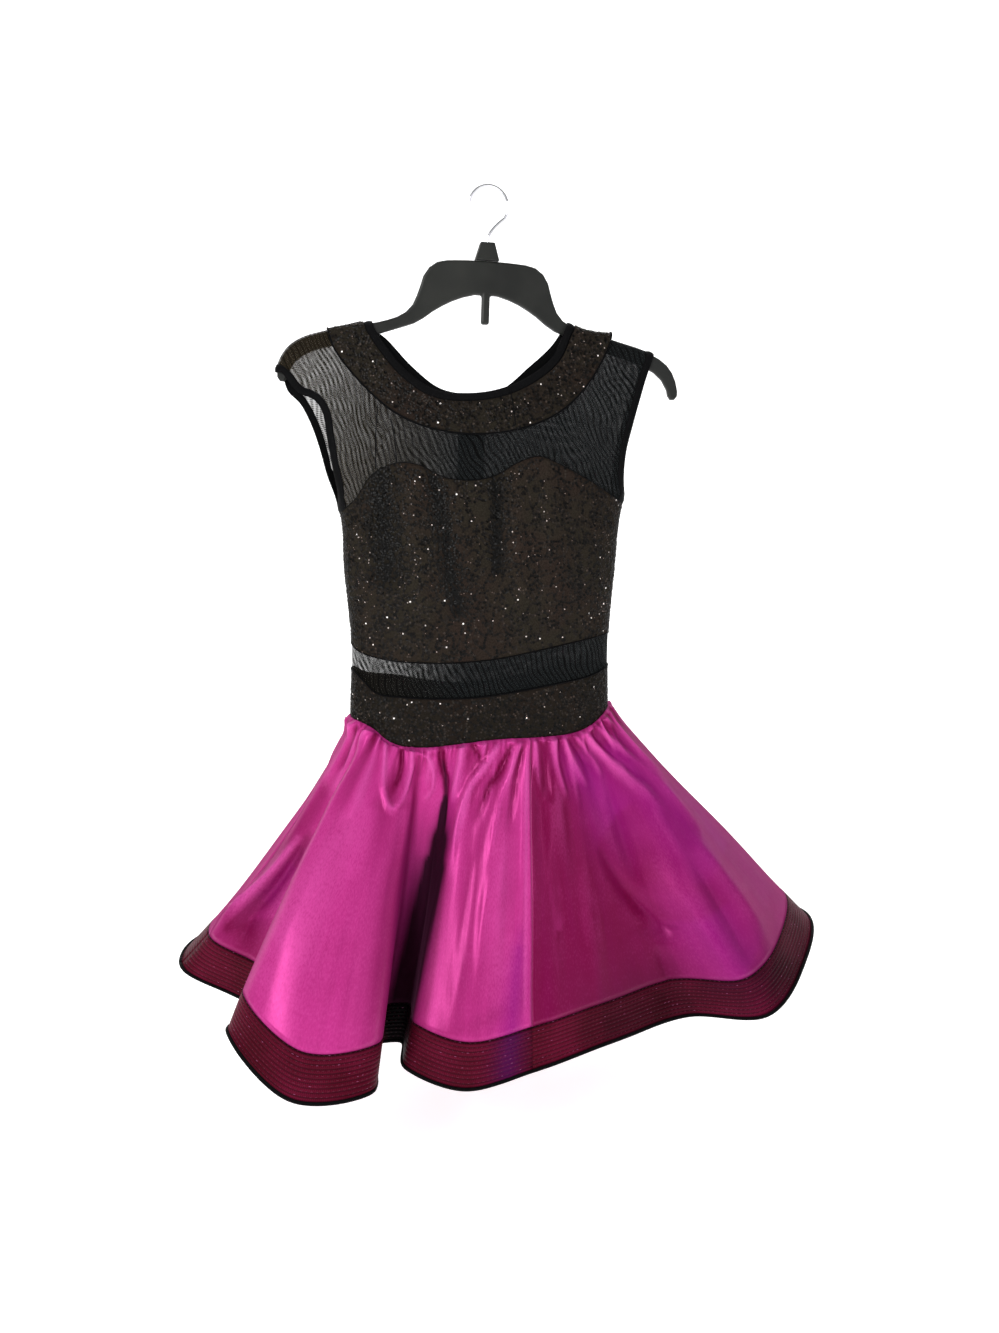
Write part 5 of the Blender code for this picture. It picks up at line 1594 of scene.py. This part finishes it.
def make_sequin_cloth():
    """Brown-black stretch cloth under the sequins, warmer in patches, darker along the bodice's folds as
    painted shade, and nearly black inside.
    """
    material, nodes, shader = new_material("sequin ground")
    grain = knit(nodes, 620.0, 0.3)
    tone = uneven(nodes, 16.0, 0.42, 0.62)
    base = nodes.mix(tone.outputs["Mask"], SEQUIN_GROUND, WARM_GROUND)
    # darker by the mark: painted shade along the bodice's folds, over a set least darkness for each piece
    base = nodes.mix(mark(nodes, "dark"), base, DARK_GROUND)
    speck = nodes.ranged(nodes.noise(cloth_vector(nodes), SPECK_SCALE, 2.0, 0.7), *SPECK_RANGE)
    base = nodes.mix(nodes.times(speck, SPECK_STRENGTH), base, SPECK_GROUND)
    from_middle = nodes.add("ShaderNodeVectorMath", {0: object_vector(nodes), 1: (BODY_MIDDLE, 0, 0)},
                            operation="SUBTRACT")
    level = nodes.add("ShaderNodeVectorMath", {0: from_middle.outputs[0], 1: (1, 1, 0)}, operation="MULTIPLY")
    facing = nodes.add("ShaderNodeNewGeometry").outputs["True Normal"]
    outward = nodes.add("ShaderNodeVectorMath", {0: facing, 1: level.outputs[0]}, operation="DOT_PRODUCT")
    base = nodes.mix(nodes.math("LESS_THAN", outward.outputs["Value"], 0.0), base, INSIDE_GROUND)
    nodes.fill(shader, {"Base Color": base, "Roughness": 0.75, "Specular IOR Level": 0.07})
    bump(nodes, shader, grain.outputs["Height"], 0.0004, 0.8)
    return material


def make_sequin():
    """Small glossy sequins, nearly black, a few of them warm, and a few near-white painted glints that are
    glowing.
    """
    material, nodes, shader = new_material("sequin")
    tone = mark(nodes, "tone")
    # the brightest tones are glowing painted glints
    glint_glow = nodes.mix(nodes.ranged(tone, *GLINT_GLOW_RANGE), (0, 0, 0), GLINT_GLOW)
    nodes.fill(shader, {"Base Color": nodes.ramp(tone, SEQUIN_COLOURS), "Emission Color": glint_glow,
                        "Emission Strength": 0.55, "Roughness": 0.35, "Specular IOR Level": 0.12})
    return material


def make_jersey(name, colour):
    """Matt stretch cloth with a fine knit."""
    material, nodes, shader = new_material(name)
    grain = knit(nodes, 700.0, 0.0)
    tone = uneven(nodes, 30.0)
    light = tuple(value * JERSEY_PALER + JERSEY_LEAST for value in colour)
    base = nodes.mix(nodes.times(tone.outputs["Fine"], 0.6), colour, light)
    nodes.fill(shader, {"Base Color": base, "Roughness": 0.62, "Specular IOR Level": 0.05})
    bump(nodes, shader, grain.outputs["Height"], 0.0003, 0.8)
    return material


def make_thread(name, dark, light, glint=None):
    """Sewing thread whose stitches run from dark to light, with a few painted glints where a colour is given.
    """
    material, nodes, shader = new_material(name)
    stops = [(0.0, dark), (0.9, light)]
    if glint:
        # painted glints on a few stitches
        stops += [(0.93, light), (0.94, glint)]
    worn = nodes.noise(object_vector(nodes), 400.0, 2.0, 0.5)
    base = nodes.mix(nodes.times(worn, 0.3), nodes.ramp(mark(nodes, "tone"), stops), dark)
    nodes.fill(shader, {"Base Color": base, "Roughness": 0.5})
    return material


def make_braid():
    """Stiff sheer braid over satin: fine ridges along it, cords crosswise, tinted purple in places, partly
    the satin's shot colour and partly painted sheen, and painted black as shade in deep folds.
    """
    material, nodes, shader = new_material("hem braid")
    parts = nodes.add("ShaderNodeSeparateXYZ", {0: cloth_vector(nodes)})
    ridges = nodes.math("SINE", nodes.times(parts.outputs[1], FULL_TURN / BRAID_RIDGE))
    cords = []
    for lean in BRAID_CORD_LEANS:
        place = nodes.plus(parts.outputs[0], nodes.times(parts.outputs[1], lean))
        cords.append(nodes.math("SINE", nodes.times(place, FULL_TURN / BRAID_CORD)))
    net = nodes.math("MAXIMUM", cords[0], cords[1])
    tone = uneven(nodes, 16.0)
    base = nodes.mix(tone.outputs["Mask"], BRAID_WINE, BRAID_ROSE)
    base = nodes.mix(nodes.times(nodes.ranged(net, 0.1, 1.0), THREAD_STRENGTH), base, BRAID_THREAD)
    base = nodes.mix(nodes.times(nodes.ranged(ridges, -0.2, -1.0), FURROW_STRENGTH), base, BRAID_FURROW)
    # purple tint, partly the satin's shot colour seen through the braid and partly painted sheen
    base = nodes.mix(nodes.times(mark(nodes, "violet_and_sheen"), BRAID_VIOLET_STRENGTH), base, BRAID_VIOLET)
    top_line = nodes.ranged(parts.outputs[1], -BRAID_EDGE, -0.4 * BRAID_EDGE, 0.0, TOP_LINE_STRENGTH)
    base = nodes.mix(top_line, base, BRAID_FURROW)
    # deep folds painted black as shade
    base = nodes.mix(mark(nodes, "dark"), base, FOLD_SHADE)
    nodes.fill(shader, {"Base Color": base, "Roughness": 0.5, "Specular IOR Level": 0.06})
    bump(nodes, shader, nodes.plus(ridges, nodes.times(net, 0.35)), 0.0004, 0.7)
    return material


def make_plastic():
    """Dark moulded plastic with a faint grain and worn, slightly paler patches."""
    material, nodes, shader = new_material("hanger plastic")
    tone = uneven(nodes, 12.0, 0.4, 0.7)
    nodes.fill(shader, {"Base Color": nodes.mix(tone.outputs["Mask"], PLASTIC_DARK, PLASTIC_PALE),
                        "Roughness": nodes.plus(nodes.times(tone.outputs["Fine"], 0.16), 0.36),
                        "Specular IOR Level": 0.3})
    bump(nodes, shader, nodes.noise(object_vector(nodes), 1500.0, 2.0), 0.0002, 0.35)
    return material


def make_steel():
    """Bright drawn wire, a little dulled in places."""
    material, nodes, shader = new_material("hook wire")
    tone = uneven(nodes, 60.0)
    nodes.fill(shader, {"Base Color": nodes.mix(tone.outputs["Mask"], STEEL_DARK, STEEL_PALE),
                        "Metallic": 1.0,
                        "Roughness": nodes.plus(nodes.times(tone.outputs["Fine"], 0.12), 0.14)})
    return material


# Pieces of the costume and its hanger

def make_upper(side, looks):
    """Net yoke, sequined collar, bindings and closing of the front or back."""
    name = "front" if side < 0 else "back"
    grids = upper_grids(side)
    points, normals = grids["yoke"]
    halves = {"": slice(None)}
    if side > 0:
        middle = YOKE_COLUMNS // 2
        halves = {"_left": slice(0, middle + 1), "_right": slice(middle, None)}
    seams = []
    for suffix, columns in halves.items():
        part = name + suffix
        net_points = points[:, columns]
        net = cloth("net_yoke_" + part, net_points, normals[:, columns], NET_LIES, 0, looks["net"])
        belongs(net, ["yoke_" + part])
        collar_normals = normals[:COLLAR_ROWS + 1, columns]
        collar_points = points[:COLLAR_ROWS + 1, columns]
        if suffix != "_left":
            collar_points = raise_corner(collar_points, collar_normals)
        shade = {"dark": streak_shade(collar_points, 0, COLLAR_SHADE)}
        collar = cloth("sequin_collar_" + part, collar_points, collar_normals, COLLAR_LIES, CLOTH_THICKNESS,
                       looks["sequin ground"], shade)
        belongs(collar, ["collar_" + part])
        spangles = sequins_on("collar_sequins_" + part, (collar_points, collar_normals),
                              COLLAR_LIES + SEQUIN_LIFT, SEED + len(suffix) + (side > 0), looks["sequin"])
        belongs(spangles, [])
        edge = [grid[:, columns] for grid in grids["binding"]]
        band("neck_edge_" + part, *edge, looks["jersey"], ["neck_binding_" + part])
        seams.append(binding_seam(*edge))
        cord_along("collar_edge_" + part, collar_points[-1] + collar_normals[-1] * COLLAR_LIES,
                   COLLAR_CORD, looks["jersey"])
    for label, hole in grids["armholes"].items():
        band(f"armhole_edge_{label}_{name}", *hole, looks["jersey"], [f"armhole_binding_{label}_{name}"])
        seams.append(binding_seam(*hole))
    stitches_along("binding_stitches_" + name, seams, looks["dark thread"], "black_jersey", *BINDING_STITCH)
    if side > 0:
        make_closing(points, normals, looks)
    else:
        make_front_seams(looks)


def binding_seam(points, normals):
    """Line of the stitches that hold a binding, near its sewn edge."""
    return blend(points[0], points[1], BINDING_SEAM) + normals[1] * BINDING_STITCH_LIES


def raise_corner(points, normals):
    """Collar with its outer corner standing up off the yoke at the right shoulder seam."""
    steps = np.linalg.norm(np.diff(points, axis=1), axis=2)
    total = np.concatenate([np.zeros((len(points), 1)), np.cumsum(steps, axis=1)], axis=1)
    from_seam = total[:, -1:] - total
    down = np.linspace(0, 1, len(points))[:, None]
    lifted = COLLAR_FLAP_RISE * down ** 2 * np.exp(-(from_seam / COLLAR_FLAP_REACH) ** 2)
    return points + normals * lifted[..., None]


def on_front(places, lift_by):
    """Points in front of the body at places given as x and height, standing off its surface."""
    points, normals = lift(-1, [turns_of(dense_curve(places, 10))])
    return points[0] + normals[0] * lift_by


def make_front_seams(looks):
    """Thin dark creases of the net and the seam of the collar."""
    for i, places in enumerate(NET_CREASES):
        cord_along(f"net_crease_{i + 1}", on_front(places, NET_LIES), CREASE_CORD, looks["jersey"])
    cord_along("collar_seam", on_front(COLLAR_SEAM, COLLAR_LIES + SEAM_LIFT), CREASE_CORD, looks["jersey"])


def make_closing(points, normals, looks):
    """Dark upright strip behind the neck."""
    places = np.linspace(PLACKET_X - PLACKET_HALF_WIDTH, PLACKET_X + PLACKET_HALF_WIDTH, PLACKET_COLUMNS)
    strips = []
    for grid in (points, normals):
        strip = []
        for line, values in zip(points[COLLAR_ROWS:], grid[COLLAR_ROWS:]):
            order = np.argsort(line[:, 0])
            strip.append([[np.interp(x, line[order, 0], values[order, k]) for k in range(3)] for x in places])
        strips.append(np.array(strip))
    closing = cloth("back_closing", *strips, PLACKET_LIES, CLOTH_THICKNESS, looks["jersey"])
    belongs(closing, ["back_placket"])


def band(name, points, normals, material, nodes):
    """Folded binding over an edge, crowned across its width, closed behind."""
    outer = band_profile(points, normals, *BINDING_OUTER)
    inner = band_profile(points, normals, *BINDING_INNER)[::-1]
    rings = np.concatenate([outer, inner])
    return tube(name, rings, lengths_along(rings[0]), lengths_along(rings[:, 0]), material,
                nodes)


def tube(name, rings, u, v, material, nodes):
    """Closed tube through the lines that run along it; u and v are its cloth coordinates along and round."""
    sides, columns = rings.shape[:2]
    faces = []
    for k in range(sides):
        start, beside_it = k * columns, (k + 1) % sides * columns
        faces += [(start + c, start + c + 1, beside_it + c + 1, beside_it + c) for c in range(columns - 1)]
    faces.append([k * columns for k in range(sides)])
    faces.append([k * columns + columns - 1 for k in range(sides)][::-1])
    uv = np.stack([np.tile(u, (sides, 1)), np.tile(v[:, None], (1, columns))], -1).reshape(-1, 2) * MM
    item = as_mesh(name, rings.reshape(-1, 3), faces, material, uv)
    face_outwards(item)
    return belongs(item, nodes)


def face_outwards(item):
    mesh = bmesh.new()
    mesh.from_mesh(item.data)
    bmesh.ops.recalc_face_normals(mesh, faces=mesh.faces[:])
    mesh.to_mesh(item.data)
    mesh.free()


def cord_along(name, line, radius, material, nodes=()):
    """Round cord or rolled edge along a line of points."""
    side, other = square_to(unit(np.gradient(line, axis=0)))
    rings = np.stack([line + (side * math.cos(a) + other * math.sin(a)) * radius
                      for a in np.linspace(0, FULL_TURN, CORD_SIDES, endpoint=False)])
    v = np.arange(CORD_SIDES) * FULL_TURN * radius / CORD_SIDES
    return tube(name, rings, lengths_along(line), v, material, nodes)


def make_lower(side, looks):
    """Sequined bodice, net midriff and sequined waistband of the front or back."""
    name = "front" if side < 0 else "back"
    bodice, midriff, waistband = lower_grids(side)
    bands = (("bodice", bodice, BODICE_SEED, BODICE_SHADE, side),
             ("waistband", waistband, WAISTBAND_SEED, WAISTBAND_SHADE, 0))
    for label, grid, seed, least, streak_side in bands:
        shade = {"dark": streak_shade(grid[0], streak_side, least)}
        sheet = cloth(f"sequin_{label}_{name}", *grid, BODICE_LIES, CLOTH_THICKNESS,
                      looks["sequin ground"], shade)
        belongs(sheet, [f"{label}_{name}"])
        spangles = sequins_on(f"{label}_sequins_{name}", grid, BODICE_LIES + SEQUIN_LIFT,
                              seed + (side > 0), looks["sequin"], streak_side)
        belongs(spangles, [])
    net = cloth("net_midriff_" + name, *midriff, NET_LIES, 0, looks["midriff net"])
    belongs(net, ["midriff_" + name])
    edges = (("band_edge", waistband, 0, COLLAR_CORD), ("bodice_edge", bodice, -1, BODICE_FOOT_CORD),
             ("bodice_top", bodice, 0, BODICE_TOP_CORD))
    for label, (points, normals), row, radius in edges:
        cord_along(f"{label}_{name}", points[row] + normals[row] * BODICE_LIES, radius, looks["jersey"])


def make_skirt(looks):
    """Gathered satin, stiff braid below it and its rolled edge."""
    rows, normals, seams, layout, height = skirt_grid()
    # painted highlights on the satin's lit lines and on the gathers' tops
    lit = np.clip(tint(*layout, LIT) + height * GATHER_LIGHT, 0, 1)
    # painted shade in the deep folds
    dark = tint(*layout, DARK_FOLDS)
    braid_lines = []
    for i, name in enumerate(("front_left", "front_right", "back_right", "back_left")):
        columns = [c % rows.shape[1] for c in range(seams[i], seams[i + 1] + 1)]
        # deep red tint of the panel, partly its own tone and partly painted shade; more of it in the gathers'
        # troughs as painted shade, less on their tops
        wine_and_shade = np.clip(tint(*layout, WINE_AND_SHADE[name]) - height * GATHER_SHADE, 0, 1)
        marks = {label: values[:, columns] for label, values in
                 (("wine_and_shade", wine_and_shade), ("violet_and_sheen", tint(*layout, VIOLET_AND_SHEEN[name])), ("lit", lit), ("dark", dark))}
        satin, satin_normals = (grid[:SATIN_ROWS + 1, columns] for grid in (rows, normals))
        braid, braid_normals = (grid[SATIN_ROWS:, columns] for grid in (rows, normals))
        panel = cloth("satin_skirt_" + name, satin, satin_normals, SATIN_LIES, SATIN_THICKNESS,
                      looks["satin"], {label: values[:SATIN_ROWS + 1] for label, values in marks.items()})
        belongs(panel, ["skirt_" + name])
        if name != "front_left":
            marks["violet_and_sheen"] = marks["violet_and_sheen"] * PLAIN_BRAID
        hem = cloth("braid_" + name, braid, braid_normals, BRAID_LIES, BRAID_THICKNESS, looks["braid"],
                    {label: values[SATIN_ROWS:] for label, values in marks.items()})
        belongs(hem, ["hem_braid_" + name])
        edge = braid[-1] + braid_normals[-1] * BRAID_MIDDLE
        edge[:, 2] += HEM_ROLL
        cord_along("rolled_edge_" + name, edge, HEM_ROLL, looks["jersey"],
                   ["hem_edge_" + name])
        if name == "front_left":
            cord_along("front_seam", satin[:, -1] + satin_normals[:, -1] * SATIN_LIES, SEAM_CORD,
                       looks["seam satin"])
        braid_lines += [along_rows(braid + braid_normals * BRAID_STITCH_LIES, share)
                        for share in np.linspace(*BRAID_STITCH_PLACES, BRAID_STITCH_ROWS)]
    stitches_along("braid_stitches", braid_lines, looks["braid thread"], "braid", *BRAID_STITCH)


def along_rows(grid, share):
    """Line across a grid at a share of the way down its rows."""
    place = share * (len(grid) - 1)
    row = min(int(place), len(grid) - 2)
    return blend(grid[row], grid[row + 1], place - row)


def make_hanger(looks):
    """New finishes for the hanger's solids, which keep their shape."""
    for node in ("hanger_frame", "size_clip"):
        finish_node(node, looks["plastic"])
    finish_node("hanger_hook", looks["steel"])


def finish_node(node, material):
    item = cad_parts[node]
    item.data.materials.clear()
    item.data.materials.append(material)


def make_looks():
    """Every material of the costume and its hanger, by name."""
    return {"net": make_net("sheer net", 0.50, 0.29, 0.60, srgb(58, 50, 37)),
            "midriff net": make_net("midriff net", 0.78, 0.14, 1.0, srgb(34, 30, 24)),
            "sequin ground": make_sequin_cloth(), "sequin": make_sequin(),
            "jersey": make_jersey("black jersey", srgb(15, 15, 16)), "satin": make_satin(),
            "seam satin": make_thread("seam thread", (0.30, 0.02, 0.13), (0.72, 0.10, 0.36)),
            "dark thread": make_thread("dark thread", srgb(16, 16, 18), srgb(48, 48, 52)),
            "braid thread": make_thread("braid thread", srgb(46, 10, 24), srgb(128, 40, 74),
                                        srgb(200, 110, 160)),
            "braid": make_braid(), "plastic": make_plastic(), "steel": make_steel()}


# Stage, lights and camera

def make_stage():
    """Pale floor whose back is drawn up into a plain backdrop with a rounded foot."""
    bpy.ops.object.select_all(action="DESELECT")
    bpy.ops.mesh.primitive_plane_add(size=2, location=(0, 0, 0))
    floor = bpy.context.object
    floor.name = "floor"
    bpy.ops.object.mode_set(mode="EDIT")
    bpy.ops.mesh.select_all(action="SELECT")
    half_depth = (STAGE_BACK - STAGE_FRONT) / 2
    bpy.ops.transform.resize(value=(STAGE_HALF_WIDTH, half_depth, 1), center_override=(0, 0, 0))
    bpy.ops.transform.translate(value=(0, (STAGE_BACK + STAGE_FRONT) / 2, FLOOR_HEIGHT))
    mesh = bmesh.from_edit_mesh(floor.data)
    for edge in mesh.edges:
        edge.select_set(all(vert.co.y > STAGE_BACK - MM for vert in edge.verts))
    mesh.select_flush_mode()
    bpy.ops.mesh.select_mode(type="EDGE")
    bpy.ops.mesh.extrude_region_move(TRANSFORM_OT_translate={"value": (0, 0, STAGE_TOP - FLOOR_HEIGHT)})
    mesh = bmesh.from_edit_mesh(floor.data)
    for edge in mesh.edges:
        edge.select_set(all(vert.co.y > STAGE_BACK - MM and vert.co.z < FLOOR_HEIGHT + MM
                            for vert in edge.verts))
    bpy.ops.mesh.bevel(offset=STAGE_CURVE, segments=STAGE_CURVE_STEPS, affect="EDGES")
    bpy.ops.object.mode_set(mode="OBJECT")
    floor.data.shade_smooth()
    material, nodes, shader = new_material("pale floor")
    nodes.fill(shader, {"Base Color": (0.9, 0.9, 0.9, 1), "Roughness": 0.85, "Specular IOR Level": 0.1,
                        "Emission Color": (1, 1, 1, 1), "Emission Strength": STAGE_GLOW})
    floor.data.materials.append(material)


def make_light(name, place, target, size, power, colour):
    """Round soft light that points at its target."""
    data = bpy.data.lights.new(name, "AREA")
    data.shape = "DISK"
    data.size = size
    data.energy = power
    data.color = colour
    light = bpy.data.objects.new(name, data)
    light.location = place
    light.rotation_euler = (Vector(target) - Vector(place)).to_track_quat("-Z", "Y").to_euler()
    bpy.context.scene.collection.objects.link(light)


def make_lights():
    """Even studio light, with two small lights that the sequins catch."""
    world = bpy.data.worlds.new("studio")
    world.use_nodes = True
    background = world.node_tree.nodes["Background"]
    background.inputs["Color"].default_value = (*WORLD_COLOUR, 1)
    background.inputs["Strength"].default_value = WORLD_STRENGTH
    bpy.context.scene.world = world
    for light in LIGHTS:
        make_light(*light)


def make_camera():
    """Camera at the photograph's place, level across and tilted down."""
    data = bpy.data.cameras.new("camera")
    data.sensor_width = SENSOR
    data.lens = FOCAL_PIXELS / PHOTO_HEIGHT * SENSOR
    data.clip_start = CLIP_START
    camera = bpy.data.objects.new("camera", data)
    flat = Vector((-math.sin(CAMERA_TURN), math.cos(CAMERA_TURN), 0))
    ahead = flat * math.cos(CAMERA_PITCH) + Vector((0, 0, -math.sin(CAMERA_PITCH)))
    right = Vector((math.cos(CAMERA_TURN), math.sin(CAMERA_TURN), 0))
    up = right.cross(ahead)
    turn = Matrix((right, up, -ahead)).transposed().to_4x4()
    camera.matrix_world = Matrix.Translation(CAMERA_PLACE) @ turn
    bpy.context.scene.collection.objects.link(camera)
    bpy.context.scene.camera = camera


def main():
    looks = make_looks()
    make_hanger(looks)
    for side in (-1, 1):
        make_upper(side, looks)
        make_lower(side, looks)
    make_skirt(looks)
    make_stage()
    make_lights()
    make_camera()
    bpy.context.scene.view_settings.view_transform = "Standard"


main()
